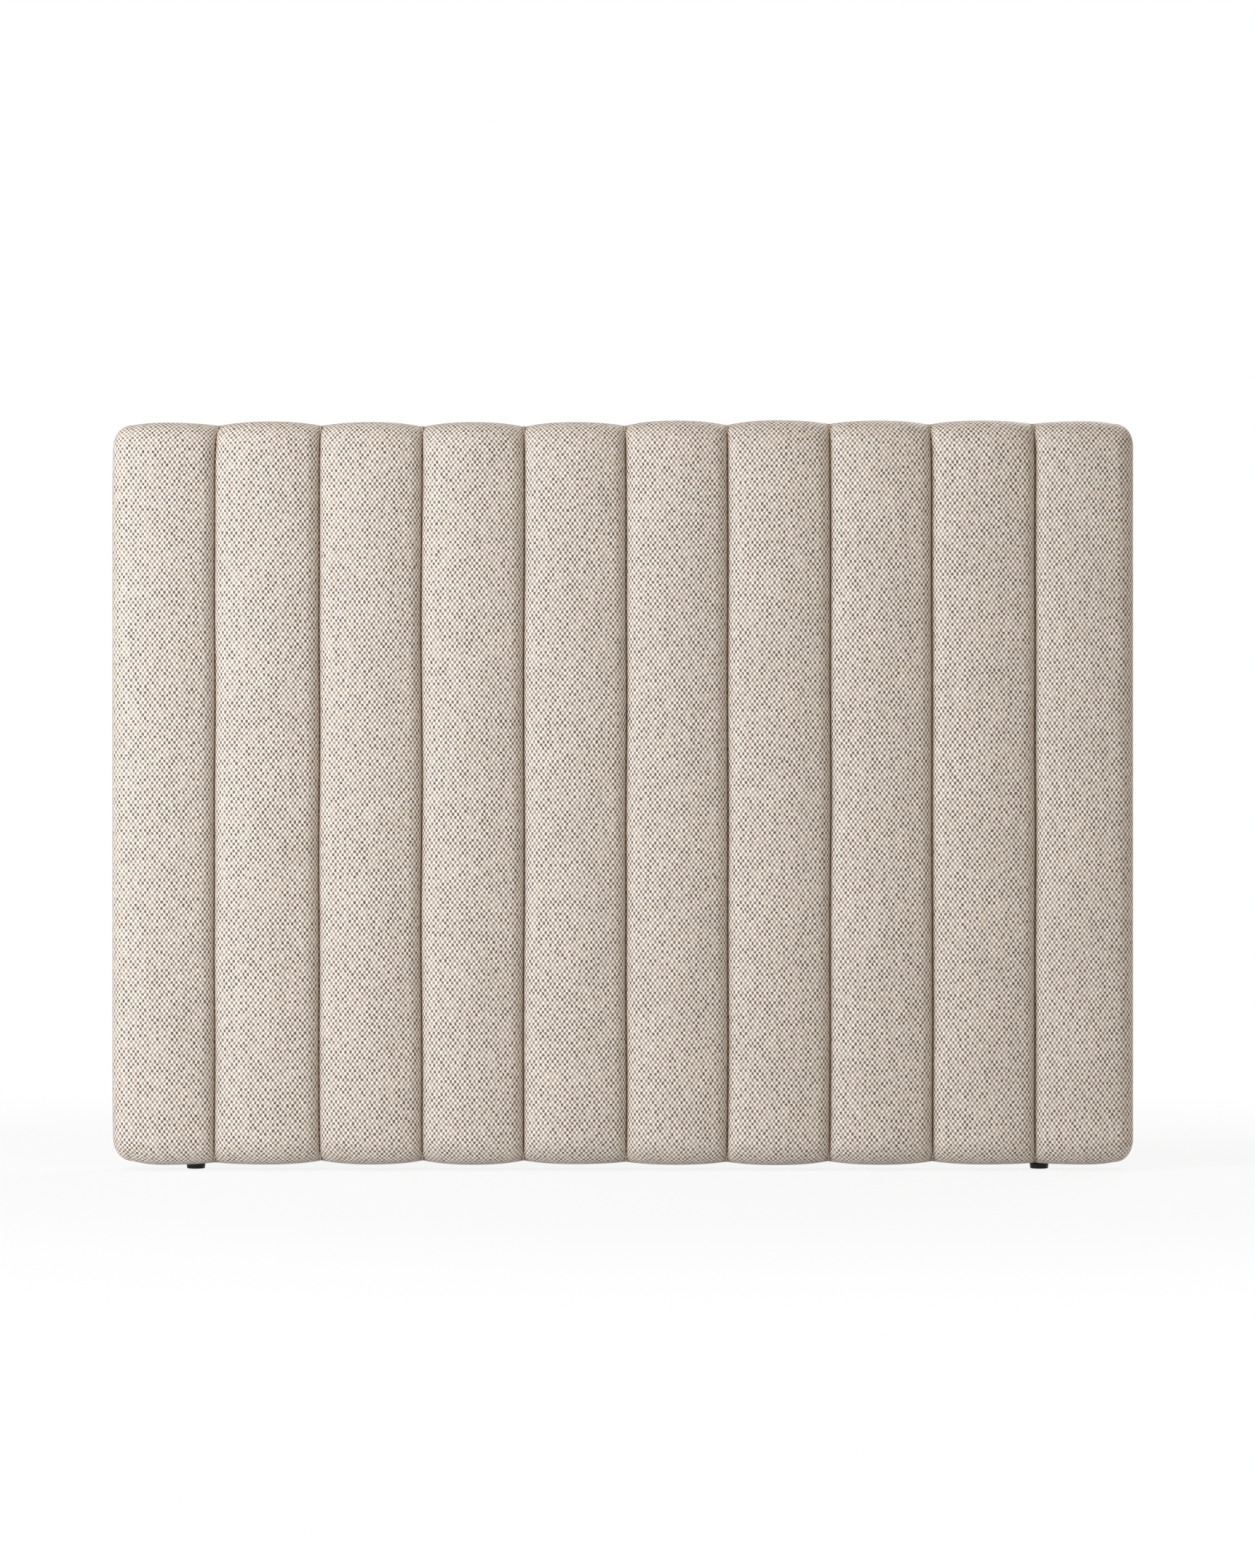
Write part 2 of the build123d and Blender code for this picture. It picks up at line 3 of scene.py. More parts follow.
import bpy
import numpy as np
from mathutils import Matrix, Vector


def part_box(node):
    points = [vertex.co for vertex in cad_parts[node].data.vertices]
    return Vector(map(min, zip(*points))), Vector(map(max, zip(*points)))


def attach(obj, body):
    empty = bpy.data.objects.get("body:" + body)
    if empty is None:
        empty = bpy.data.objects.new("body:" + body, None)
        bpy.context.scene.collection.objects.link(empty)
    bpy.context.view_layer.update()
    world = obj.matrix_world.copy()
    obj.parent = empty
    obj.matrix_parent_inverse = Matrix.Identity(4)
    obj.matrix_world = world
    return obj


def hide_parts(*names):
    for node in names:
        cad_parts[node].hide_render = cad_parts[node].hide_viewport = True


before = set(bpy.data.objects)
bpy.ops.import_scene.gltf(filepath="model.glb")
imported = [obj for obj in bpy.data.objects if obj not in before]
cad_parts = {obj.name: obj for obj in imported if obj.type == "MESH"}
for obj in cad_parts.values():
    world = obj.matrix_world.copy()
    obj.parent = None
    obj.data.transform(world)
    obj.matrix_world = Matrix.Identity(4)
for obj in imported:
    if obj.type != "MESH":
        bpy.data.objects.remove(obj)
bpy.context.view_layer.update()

MM = 0.001
CHANNELS = 10

# The headboard's own measures, in metres. The floor is z = 0 and the padded front faces -Y.
PANEL_NAMES = [f"cover_panel_{n:02d}" for n in range(1, CHANNELS + 1)]
PANEL_BOXES = [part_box(name) for name in PANEL_NAMES]
SEAM_XS = [(left[1].x + right[0].x) / 2 for left, right in zip(PANEL_BOXES, PANEL_BOXES[1:])]
SIDE_LEFT = PANEL_BOXES[0][0].x
SIDE_RIGHT = PANEL_BOXES[-1][1].x
CREST_Y = PANEL_BOXES[1][0].y
FOLD_Y = PANEL_BOXES[1][1].y
COVER_BOTTOM = PANEL_BOXES[1][0].z
COVER_TOP = PANEL_BOXES[1][1].z
CLEFT_DEPTH = 28 * MM
SEAM_Y = CREST_Y + CLEFT_DEPTH
SHOULDER_RADIUS = 28 * MM
SHOULDER_END = math.radians(76)
SIDE_ROLL = 36 * MM
CREST_ROLL = 42 * MM
SEAM_ROLL = 25 * MM
TURN_RADIUS = 3 * MM
FOLD_LENGTH = 35 * MM
FOLD_CORNER = 4 * MM
FOLD_BLEND = 100 * MM
CORNER_POWER = 2.1
PLEAT_STEP = 1.6 * MM
PLEAT_REACH = 14
PLEAT_ROWS = 8
CLOTH_THICKNESS = 1.5 * MM
FOAM_INSET = 2.2 * MM
SEAM_GAP = 0.15 * MM
# Painted shade: how far from a seam the cloth's colour is darkened and browned where the cleft's shade
# falls.
CREASE_SHADE_REACH = 9 * MM

# Read off the photograph, from the left: how far each crest and each seam's end stands in from the top
# and the bottom, how far the outer corners do, and how far each seam leans to the right near its ends.
TOP_CREST_DROPS = MM * np.array((4.0, 2.0, 3.0, 3.0, 3.0, 0.5, 0.0, 0.5, 0.5, 1.5))
TOP_SEAM_DROPS = MM * np.array((8.0, 8.0, 9.5, 9.5, 8.0, 7.0, 5.0, 6.0, 5.0))
FOOT_CREST_RISES = MM * np.array((0.5, 1.0, 1.0, 0.5, 1.5, 0.5, 0.0, 0.5, 1.0, 1.0))
FOOT_SEAM_RISES = MM * np.array((3.5, 6.5, 6.5, 6.5, 4.5, 4.5, 5.5, 5.5, 3.0))
CORNER_DROP = 4 * MM
LEFT_FOOT_CORNER_RISE = 6 * MM
LEFT_CORNER_LEAN = 5 * MM
TOP_LEANS = MM * np.array((7.5, 3.5, 1.0, 0.0, -1.0, -1.5, -1.0, -5.0, -4.0))
FOOT_LEANS = MM * np.array((0.0, 3.0, 2.0, -1.0, -0.5, -1.5, -3.0, 1.0, 2.0))
LEAN_REACH = 32 * MM
SEAM_OFFSETS = MM * np.array((2.5, 3.0, 2.0, 1.0, 1.0, 1.0, 1.0, 0.0, 1.0))
SEAM_WAVE = 0.7 * MM
SCALLOP_POWER = 2.3

# The weave is a checked lattice, with two mesh steps to a cell each way.
CELL_WIDE = 3.75 * MM
CELL_TALL = 4.875 * MM
STEP_ACROSS = CELL_WIDE / 2
STEP_ALONG = CELL_TALL / 2
MESH_STEP = np.array([STEP_ACROSS, STEP_ALONG])
RELIEF = 0.75 * MM
ROW_DRIFT = 1.6 * MM
SLACK = 0.35 * MM
# Mesh steps are longer round the side, so each takes more of the weave.
SIDE_STRETCH = 1.22
# Each panel's cloth is cut these whole lattice repeats, in mesh steps, further along the bolt.
PANEL_SHIFT = np.array([4.0 * 37, 4.0 * 11])

# The cloth simulation: how much longer than its bed the cloth is cut, and how far a point may move.
CLOTH_EXCESS = 0.002
CLOTH_BENDING = 40.0
CLOTH_QUALITY = 6
FOAM_PRESSURE = 5.0
FOAM_HOLD = 0.34
FOAM_UNEVEN = 0.12
SWELL_CAP = 2.0 * MM
SWELL_FRAMES = 20

# Mesh steps along each stretch of a panel, multiples of four in total.
ROLL_STEPS = 28
WALL_STEPS = 28
TURN_STEPS = 2
FOLD_STEPS = 14
BACK_STEPS = WALL_STEPS + TURN_STEPS + FOLD_STEPS
FRONT_STEPS = 4 * round((COVER_TOP - COVER_BOTTOM - 2 * CREST_ROLL) / STEP_ALONG / 4)
FRONT_ZS = np.linspace(COVER_BOTTOM + CREST_ROLL, COVER_TOP - CREST_ROLL, FRONT_STEPS + 1)
ACROSS_STEPS = 96
SIDE_STEPS = 24
END_STEPS = SIDE_STEPS + 76
COARSE = 4

# Mesh steps over which the relief and the drift of the rows grow, and how soon the relief leaves a corner.
RELIEF_START = 2
RELIEF_RISE = ROLL_STEPS / 2
SEAM_RISE = 2
DRIFT_RISE = 12
CORNER_ACROSS = 1.6
CORNER_UP = 1.4
CORNER_FADE = 3

# Where a cover's layers lie on its baked picture: left, bottom, right and top, in shares of it.
BAKE_MIDDLE = (0.0, 0.0, 0.92, 1.0)
BAKE_INNER = (0.925, 0.005, 0.99, 0.995)
BAKE_CAP = (0.0, 0.0, 0.66, 1.0)
BAKE_CAP_INNER = (0.925, 0.005, 0.955, 0.995)
BAKE_BAND = (0.66, 0.0, 0.92, 1.0)
BAKE_BAND_INNER = (0.962, 0.005, 0.99, 0.995)
STRIP_PAD = 0.012
RIM_MARGIN = 0.002
# How many strips a layer is cut into there, and how many of them stand side by side
FRONT_STRIPS, FRONT_COLUMNS = 6, 3
BAND_STRIPS, BAND_COLUMNS = 8, 1

# Seeds of the random draws
SEAM_SEED = 40
DUST_CLOTH_SEED = 71
DRIFT_SEED = 100
SWELL_SEED = 200
TAPE_SEED = 500
WADDING_SEED = 800


def smooth(t):
    t = np.clip(t, 0.0, 1.0)
    return t * t * (3 - 2 * t)


def waves(x, z, seed, longest=0.30, count=6, shrink=0.72, height=1.6):
    """Smooth seeded unevenness between about -1 and 1, over places x and z in metres."""
    random = np.random.default_rng(seed)
    total = 0 * x
    for n in range(count):
        length = longest * shrink ** n
        direction = random.uniform(0, 2 * math.pi)
        phase = random.uniform(0, 2 * math.pi)
        along = (x * math.cos(direction) + z * math.sin(direction)) / length
        total = total + np.sin(2 * math.pi * along + phase) / count * height
    return total


# Cross-sections of a channel

def arc_chain(arcs, count):
    """Points at equal steps along arcs, each a radius and two slopes. The curve rises towards -Y."""
    fine = 600
    slopes, lengths = [], []
    start = 0.0
    for radius, first, last in arcs:
        length = radius * abs(last - first)
        slopes.append(np.linspace(first, last, fine))
        lengths.append(np.linspace(start, start + length, fine))
        start += length
    slopes = np.concatenate(slopes)
    lengths = np.concatenate(lengths)
    steps = np.diff(lengths)
    middle = (slopes[1:] + slopes[:-1]) / 2
    xs = np.concatenate([[0.0], np.cumsum(np.cos(middle) * steps)])
    ys = np.concatenate([[0.0], np.cumsum(-np.sin(middle) * steps)])
    at = np.linspace(0.0, start, count + 1)
    return np.interp(at, lengths, xs), np.interp(at, lengths, ys)


def bisect(rises, low, high, halvings=60):
    """The value between low and high up to which the test holds."""
    for _ in range(halvings):
        middle = (low + high) / 2
        low, high = (middle, high) if rises(middle) else (low, middle)
    return low


def crown_slope(radius):
    """The slope where crown and shoulder meet, with the crest a cleft's depth above the seam."""
    def too_low(slope):
        depth = radius * (1 - math.cos(slope))
        depth += SHOULDER_RADIUS * (math.cos(slope) - math.cos(SHOULDER_END))
        return depth < CLEFT_DEPTH
    return bisect(too_low, 0.0, SHOULDER_END)


def half_width(radius):
    """From the crest to the seam."""
    slope = crown_slope(radius)
    return radius * math.sin(slope) + SHOULDER_RADIUS * (math.sin(SHOULDER_END) - math.sin(slope))


def crown_radius(width):
    roundest = 40 * MM
    flattest = 900 * MM
    return bisect(lambda radius: 2 * half_width(radius) < width, roundest, flattest)


CROWN_RADIUS = crown_radius((SEAM_XS[-1] - SEAM_XS[0]) / (CHANNELS - 2))
CROWN_SLOPE = crown_slope(CROWN_RADIUS)


# Grids of points: steps across by rows from bottom to top

def as_grid(rows):
    """Rows of coordinates, from bottom to top, as a grid of points."""
    return np.array([np.stack(row, axis=-1) for row in rows]).transpose(1, 0, 2)


def scallop(at_crest, beyond, at):
    """How far an end stands in: at the crest, where at is 0, and beyond it, where at is 1."""
    return at_crest + (beyond - at_crest) * at ** SCALLOP_POWER


def end_roll(ys, drop, outer=False):
    """The radius of the roll over an end, smaller beside the seam than at the crest and outwards of it."""
    share = np.where(outer, 1.0, np.clip((SEAM_Y - ys) / CLEFT_DEPTH, 0.0, 1.0))
    return np.minimum(SEAM_ROLL + (CREST_ROLL - SEAM_ROLL) * share, CREST_ROLL - drop)


def roll_rows(x_front, y_front, x_wall, roll, drop):
    """Rows round the roll at an end: x, y and depth in from the end's edge line."""
    straight = np.maximum(CREST_ROLL - drop - roll, 0.0)
    path = straight + roll * math.pi / 2
    rows = []
    for k in range(1, ROLL_STEPS + 1):
        s = path * k / ROLL_STEPS
        turn = np.clip((s - straight) / roll, 0.0, math.pi / 2)
        depth = np.where(s < straight, CREST_ROLL - drop - s, roll * (1 - np.sin(turn)))
        x = x_front + (x_wall - x_front) * smooth(turn / (math.pi / 2))
        rows.append((x, y_front + roll * (1 - np.cos(turn)), depth))
    return rows


def back_steps():
    """Rows of the wall, the turn and the fold: share of the way back, y and depth of the fold."""
    for k in range(1, WALL_STEPS + 1):
        yield k / WALL_STEPS, FOLD_Y - TURN_RADIUS, 0.0
    for k in range(1, TURN_STEPS + 1):
        angle = math.pi / 2 * k / TURN_STEPS
        yield 1.0, FOLD_Y - TURN_RADIUS * (1 - math.sin(angle)), TURN_RADIUS * (1 - math.cos(angle))
    for k in range(1, FOLD_STEPS + 1):
        yield 1.0, FOLD_Y, TURN_RADIUS + (FOLD_LENGTH - TURN_RADIUS) * k / FOLD_STEPS


def middle_panel(channel):
    """The points of a channel with a seam on both sides."""
    left = SEAM_XS[channel - 1] + SEAM_GAP
    right = SEAM_XS[channel] - SEAM_GAP
    radius = crown_radius(right - left)
    slope = crown_slope(radius)
    shoulder = (SHOULDER_RADIUS, SHOULDER_END, slope)
    arcs = [shoulder, (radius, slope, -slope), (SHOULDER_RADIUS, -slope, -SHOULDER_END)]
    xs, ys = arc_chain(arcs, ACROSS_STEPS)
    xs = left + xs * ((right - left) / xs[-1])
    ys = SEAM_Y + ys
    at = np.linspace(-1, 1, ACROSS_STEPS + 1)
    x_wall = left + (right - left) * (at + 1) / 2
    ends = []
    for crests, seams in ((FOOT_CREST_RISES, FOOT_SEAM_RISES), (TOP_CREST_DROPS, TOP_SEAM_DROPS)):
        at_seam = np.where(at < 0, seams[channel - 1], seams[channel])
        drop = scallop(crests[channel], at_seam, np.abs(at))
        roll = end_roll(ys, drop)
        rows = roll_rows(xs, ys, x_wall, roll, drop)
        y_edge = ys + roll
        for back, y, depth in back_steps():
            rows.append((x_wall, y_edge + (y - y_edge) * back, depth + 0 * xs))
        ends.append((drop, rows))
    (rise, foot_rows), (drop, top_rows) = ends
    grid = [(x, y, COVER_BOTTOM + rise + depth) for x, y, depth in reversed(foot_rows)]
    grid += [(xs, ys, z + 0 * xs) for z in FRONT_ZS]
    grid += [(x, y, COVER_TOP - drop - depth) for x, y, depth in top_rows]
    return as_grid(grid)


def corner_shares(p, q):
    """Where a corner's grid point lies on the rounded corner: its reach and its direction along and up."""
    reach = np.maximum(p, q)
    norm = (p ** CORNER_POWER + q ** CORNER_POWER) ** (1 / CORNER_POWER)
    return reach, p / norm, q / norm


def end_cap(side, seam, ends):
    """The left end channel's front: its points, its weave places, its side roll's width and its corners."""
    width = seam - side
    sine = (width - half_width(CROWN_RADIUS) - SIDE_ROLL) / (CROWN_RADIUS - SIDE_ROLL)
    slope = math.asin(sine)
    roll_width = SIDE_ROLL * (1 - sine)
    arcs = [(CROWN_RADIUS, slope, -CROWN_SLOPE), (SHOULDER_RADIUS, -CROWN_SLOPE, -SHOULDER_END)]
    xs, ys = arc_chain(arcs, END_STEPS - SIDE_STEPS)
    xs = side + roll_width + xs * ((width - roll_width) / xs[-1])
    ys = CREST_Y + ys - ys.min()
    crest = int(np.argmin(ys))
    outer = np.arange(len(xs)) < crest
    x_wall = xs.copy()
    x_wall[crest:] = np.linspace(xs[crest], xs[-1], len(xs) - crest)
    at = np.where(outer, (xs[crest] - xs) / (xs[crest] - xs[0]), (x_wall - xs[crest]) / (xs[-1] - xs[crest]))

    p = 1 - np.arange(SIDE_STEPS) / SIDE_STEPS
    rows, corners = {}, {}
    for name, (at_crest, at_seam, at_corner) in ends.items():
        drop = scallop(at_crest, np.where(outer, at_crest + at_corner, at_seam), at)
        roll = end_roll(ys, drop, outer)
        rows[name] = []
        corners[name] = drop[0], roll[0]
        for k, (x, y, depth) in enumerate(roll_rows(xs, ys, x_wall, roll, drop), start=1):
            reach, east, north = corner_shares(p, k / ROLL_STEPS)
            turned = slope + reach * (math.pi / 2 - slope)
            along = east * SIDE_ROLL * (np.sin(turned) - sine)
            up = north * roll[0] * np.sin(reach * math.pi / 2)
            sideways = east ** CORNER_POWER
            back = sideways * SIDE_ROLL * (math.cos(slope) - np.cos(turned))
            back += (1 - sideways) * roll[0] * (1 - np.cos(reach * math.pi / 2))
            x = np.concatenate([side + roll_width - along, x])
            y = np.concatenate([ys[0] + back, y])
            depth = np.concatenate([drop[0] + roll[0] - up, drop + depth])
            u = np.concatenate([SIDE_STEPS * (1 - reach * east), SIDE_STEPS + np.arange(len(xs))])
            v = np.concatenate([ROLL_STEPS * reach * north, np.full(len(xs), float(k))])
            rows[name].append((x, y, depth, u, v))

    angle = slope + p * (math.pi / 2 - slope)
    front_x = np.concatenate([side + SIDE_ROLL * (1 - np.sin(angle)), xs])
    front_y = np.concatenate([ys[0] + SIDE_ROLL * (math.cos(slope) - np.cos(angle)), ys])
    u = np.arange(END_STEPS + 1.0)
    grid = [(x, y, COVER_BOTTOM + depth, u, -v) for x, y, depth, u, v in reversed(rows["foot"])]
    grid += [(front_x, front_y, z + 0 * u, u, j + 0 * u) for j, z in enumerate(FRONT_ZS)]
    grid += [(x, y, COVER_TOP - depth, u, FRONT_STEPS + v) for x, y, depth, u, v in rows["top"]]
    grid = as_grid(grid)
    return grid[..., :3], grid[..., 3:], roll_width, corners


def fold_inset(along, roll):
    """How far in from the corner the fold's line ends, for a place this far along the edge from it."""
    if along > FOLD_BLEND:
        return along
    return np.interp(along, [roll, FOLD_BLEND], [FOLD_LENGTH + FOLD_CORNER, FOLD_BLEND])


def fold_line(cap, side, roll_width, corners):
    """The cap's outline, from the seam along the bottom, up the side and back along the top, and where the
    fold behind each of its points ends."""
    last = cap.shape[1] - 1
    outline = [(i, 0) for i in range(END_STEPS, 0, -1)]
    outline += [(0, j) for j in range(last)]
    outline += [(i, last) for i in range(END_STEPS + 1)]
    reach_in = FOLD_LENGTH + FOLD_CORNER
    inner = []
    for i, j in outline:
        x, _, z = cap[i, j]
        upper = j > cap.shape[1] / 2
        sign = 1 if upper else -1
        drop, roll = corners["top" if upper else "foot"]
        edge = COVER_TOP - drop if upper else COVER_BOTTOM + drop
        k = (j - ROLL_STEPS - FRONT_STEPS) if upper else (ROLL_STEPS - j)
        if i < SIDE_STEPS and k > 0:
            _, east, north = corner_shares(1 - i / SIDE_STEPS, k / ROLL_STEPS)
            inward = edge - sign * (reach_in - FOLD_CORNER * north)
            inner.append((side + reach_in - FOLD_CORNER * east, inward))
        elif i >= SIDE_STEPS:
            inner.append((side + fold_inset(x - side, roll_width), z - sign * FOLD_LENGTH))
        else:
            inner.append((side + FOLD_LENGTH, edge - sign * fold_inset(abs(edge - z), roll)))
    return outline, np.array(inner)


def end_band(cap, outline, inner):
    """The points behind the outline, as a grid of outline steps by rows back and in over the fold."""
    edge = np.array([cap[i, j] for i, j in outline])
    # Beside each corner the cloth of the edge laps over the cloth of the side, a small step that fades out.
    steps = np.arange(len(outline))
    last = END_STEPS + cap.shape[1] - 1
    beyond = np.where(steps < END_STEPS, END_STEPS - steps, steps - last)
    lap = np.where((beyond > 0) & (beyond < PLEAT_REACH), 1 - beyond / PLEAT_REACH, 0.0)
    outward = edge[:, [0, 2]] - inner
    outward /= np.linalg.norm(outward, axis=1)[:, None]
    rows = [edge]
    for n, (back, y, depth) in enumerate(back_steps(), start=1):
        row = edge.copy()
        row[:, 1] = edge[:, 1] + (y - edge[:, 1]) * back
        flat = edge[:, [0, 2]] + (inner - edge[:, [0, 2]]) * (depth / FOLD_LENGTH)
        rise = (lap * PLEAT_STEP * smooth(n / PLEAT_ROWS) * (1 - depth / FOLD_LENGTH))[:, None]
        row[:, [0, 2]] = flat + outward * rise
        rows.append(row)
    return np.array(rows).transpose(1, 0, 2)


# Unevenness that every soft piece follows

def seam_shifts(z):
    """How far each side and seam leans to the right at the heights z."""
    near_top = np.exp(-np.clip(COVER_TOP - z, 0, None) / LEAN_REACH)
    near_foot = np.exp(-np.clip(z - COVER_BOTTOM, 0, None) / LEAN_REACH)
    shifts = [LEFT_CORNER_LEAN * (near_top + near_foot)]
    for k, (offset, top, foot) in enumerate(zip(SEAM_OFFSETS, TOP_LEANS, FOOT_LEANS)):
        wander = SEAM_WAVE * waves(0 * z, z, SEAM_SEED + k, longest=0.5, count=3)
        shifts.append(offset + (top * near_top + foot * near_foot) + wander)
    shifts.append(0 * z)
    return np.array(shifts)


def lean(points):
    """Moves points sideways with the seams beside them."""
    stops = np.array([SIDE_LEFT, *SEAM_XS, SIDE_RIGHT])
    x = np.clip(points[:, 0], SIDE_LEFT, SIDE_RIGHT)
    cell = np.clip(np.searchsorted(stops, x, side="right") - 1, 0, len(stops) - 2)
    share = (x - stops[cell]) / (stops[cell + 1] - stops[cell])
    shifts = seam_shifts(points[:, 2])
    row = np.arange(len(points))
    moved = points.copy()
    moved[:, 0] += shifts[cell, row] * (1 - share) + shifts[cell + 1, row] * share
    return moved


# Meshes

def grid_ids(shape, first=0):
    """Vertex numbers of a grid of points."""
    return first + np.arange(shape[0] * shape[1]).reshape(shape[:2])


def grid_quads(ids):
    """Quads of a grid of vertex numbers."""
    return np.stack([ids[:-1, :-1], ids[1:, :-1], ids[1:, 1:], ids[:-1, 1:]], axis=-1).reshape(-1, 4)


def quad_corners(values):
    """The values at the corners of each quad of a grid of values."""
    corners = [values[:-1, :-1], values[1:, :-1], values[1:, 1:], values[:-1, 1:]]
    return np.stack(corners, axis=2).reshape(-1, 4, values.shape[-1])


def normals(points, quads):
    faces = np.cross(points[quads[:, 2]] - points[quads[:, 0]], points[quads[:, 3]] - points[quads[:, 1]])
    total = np.zeros_like(points)
    for corner in range(4):
        np.add.at(total, quads[:, corner], faces)
    return total / np.maximum(np.linalg.norm(total, axis=1), 1e-12)[:, None]


def add(name, data):
    """A new object in the scene."""
    added = bpy.data.objects.new(name, data)
    bpy.context.scene.collection.objects.link(added)
    return added


def build(name, points, groups):
    """A mesh object from groups of equal faces, each given as faces, UV maps and whether it is smooth."""
    mesh = bpy.data.meshes.new(name)
    mesh.vertices.add(len(points))
    mesh.vertices.foreach_set("co", np.asarray(points, dtype=np.float32).ravel())
    loops = np.concatenate([faces.ravel() for faces, _, _ in groups])
    totals = np.concatenate([np.full(len(faces), faces.shape[1]) for faces, _, _ in groups])
    mesh.loops.add(len(loops))
    mesh.loops.foreach_set("vertex_index", loops.astype(np.int32))
    mesh.polygons.add(len(totals))
    starts = np.concatenate([[0], np.cumsum(totals)[:-1]])
    mesh.polygons.foreach_set("loop_start", starts.astype(np.int32))
    for layer in groups[0][1]:
        uvs = np.concatenate([maps[layer].reshape(-1, 2) for _, maps, _ in groups])
        mesh.uv_layers.new(name=layer).data.foreach_set("uv", uvs.astype(np.float32).ravel())
    shade = np.concatenate([np.full(len(faces), even) for faces, _, even in groups])
    mesh.update(calc_edges=True)
    mesh.validate()
    mesh.polygons.foreach_set("use_smooth", shade)
    mesh.update()
    return add(name, mesh)


def strip_uvs(shape, axis, strips, rect, columns):
    """Bake places of a grid's quads, cut into strips that fill a rectangle of the unit square."""
    steps = np.indices(shape)
    per = math.ceil(shape[axis] / strips)
    strip = steps[axis] // per
    start = [strip * per if k == axis else 0 for k in (0, 1)]
    size = [per if k == axis else shape[k] for k in (0, 1)]
    rows = math.ceil(strips / columns)
    cell = np.array([(rect[2] - rect[0]) / columns, (rect[3] - rect[1]) / rows])
    corners = []
    for corner in ((0, 0), (1, 0), (1, 1), (0, 1)):
        pair = [(steps[k] - start[k] + corner[k]) / size[k] for k in (0, 1)]
        local = np.stack(pair, axis=-1) * (1 - 2 * STRIP_PAD) + STRIP_PAD
        local += np.stack([strip % columns, strip // columns], axis=-1)
        corners.append(np.array(rect[:2]) + local * cell)
    return np.stack(corners, axis=2).reshape(-1, 4, 2)


def inner_places(ids, rect, swap):
    """Bake places of the inner layer's grid, as a grid of the same shape as ids."""
    a, b = np.meshgrid(np.linspace(0, 1, ids.shape[0]), np.linspace(0, 1, ids.shape[1]), indexing="ij")
    if swap:
        a, b = b, a
    return np.stack([rect[0] + a * (rect[2] - rect[0]), rect[1] + b * (rect[3] - rect[1])], axis=-1)


def rim_triangles(fine, coarse_of, border, outward):
    """Triangles that join a side of the outer layer to the coarser inner one, and their bake places."""
    faces, places = [], []
    for c in range(0, len(fine) - 1, COARSE):
        f = fine[c:c + COARSE + 1]
        near, far = coarse_of[f[0]], coarse_of[f[-1]]
        faces += [(f[1], f[0], near), (f[2], f[1], near), (f[2], near, far)]
        faces += [(f[3], f[2], far), (f[4], f[3], far)]
        out = border[c:c + COARSE + 1] + np.array(outward) * RIM_MARGIN
        start, end = border[c], border[c + COARSE]
        places += [(out[1], out[0], start), (out[2], out[1], start), (out[2], start, end)]
        places += [(out[3], out[2], end), (out[4], out[3], end)]
    return np.array(faces), np.array(places)


def turned_over(faces, maps, even):
    """A group of faces that face the other way."""
    return faces[:, ::-1], {layer: corners[:, ::-1] for layer, corners in maps.items()}, even


def cloth_shell(channel, points, out, patches, relief, gap, mirrored):
    """A panel's closed cloth: a fine outer layer with the weave's relief, a coarse inner one and the rim.

    Each patch has its vertex numbers, its outer faces' places on the bake and the weave, its inner faces'
    rectangle on the bake and whether they lie turned in it, and its open sides, with their way out of it."""
    coarse = np.unique(np.concatenate([patch["ids"][::COARSE, ::COARSE].ravel() for patch in patches]))
    coarse_of = np.zeros(len(points), dtype=int)
    coarse_of[coarse] = len(points) + np.arange(len(coarse))
    outer = points + out * relief[:, None]
    inner = points[coarse] - out[coarse] * CLOTH_THICKNESS
    groups = []
    for patch in patches:
        maps = {"OFBake": patch["bake"], "Weave": (patch["weave"] + channel * PANEL_SHIFT) * MESH_STEP}
        groups.append((grid_quads(patch["ids"]), maps, True))
    for patch in patches:
        small = patch["ids"][::COARSE, ::COARSE]
        bake = quad_corners(inner_places(small, patch["inner"], patch["swap"]))
        weave = quad_corners(np.moveaxis(np.indices(small.shape) * COARSE, 0, -1) * MESH_STEP)
        groups.append(turned_over(coarse_of[grid_quads(small)], {"OFBake": bake, "Weave": weave}, True))
    for patch in patches:
        borders = inner_places(patch["ids"], patch["inner"], patch["swap"])
        for cut, outward in patch["open"]:
            faces, places = rim_triangles(patch["ids"][cut], coarse_of, borders[cut], outward)
            groups.append((faces, {"OFBake": places, "Weave": np.zeros_like(places)}, False))
    if mirrored:
        groups = [turned_over(*group) for group in groups]
    shell = build(f"woven_cover_{channel + 1:02d}", np.concatenate([outer, inner]), groups)
    # Painted shade: each point's share of the brown darkening painted into the cloth beside a seam, standing
    # in for the cleft's shade.
    crease_shade = 1 - smooth(np.concatenate([gap, gap[coarse]]) / CREASE_SHADE_REACH)
    near_seam = shell.data.attributes.new("near_seam", "FLOAT", "POINT")
    near_seam.data.foreach_set("value", crease_shade.astype(np.float32))
    return shell


def lattice_relief(a, b):
    """Raised floats and sunk dots of the checked lattice at mesh steps a and b."""
    return -np.cos(math.pi * a / 2) * np.cos(math.pi * b / 2)


def uneven(points, out, weight, seed):
    """Lets the weave's rows drift along the surface and the surface ride up and down a little."""
    x, y, z = points.T
    moved = points.copy()
    moved[:, 2] += ROW_DRIFT * weight * waves(x, z, seed, longest=0.45, count=4)
    moved += out * (SLACK * weight * waves(x, z, seed + 1, longest=0.16, count=6))[:, None]
    return moved


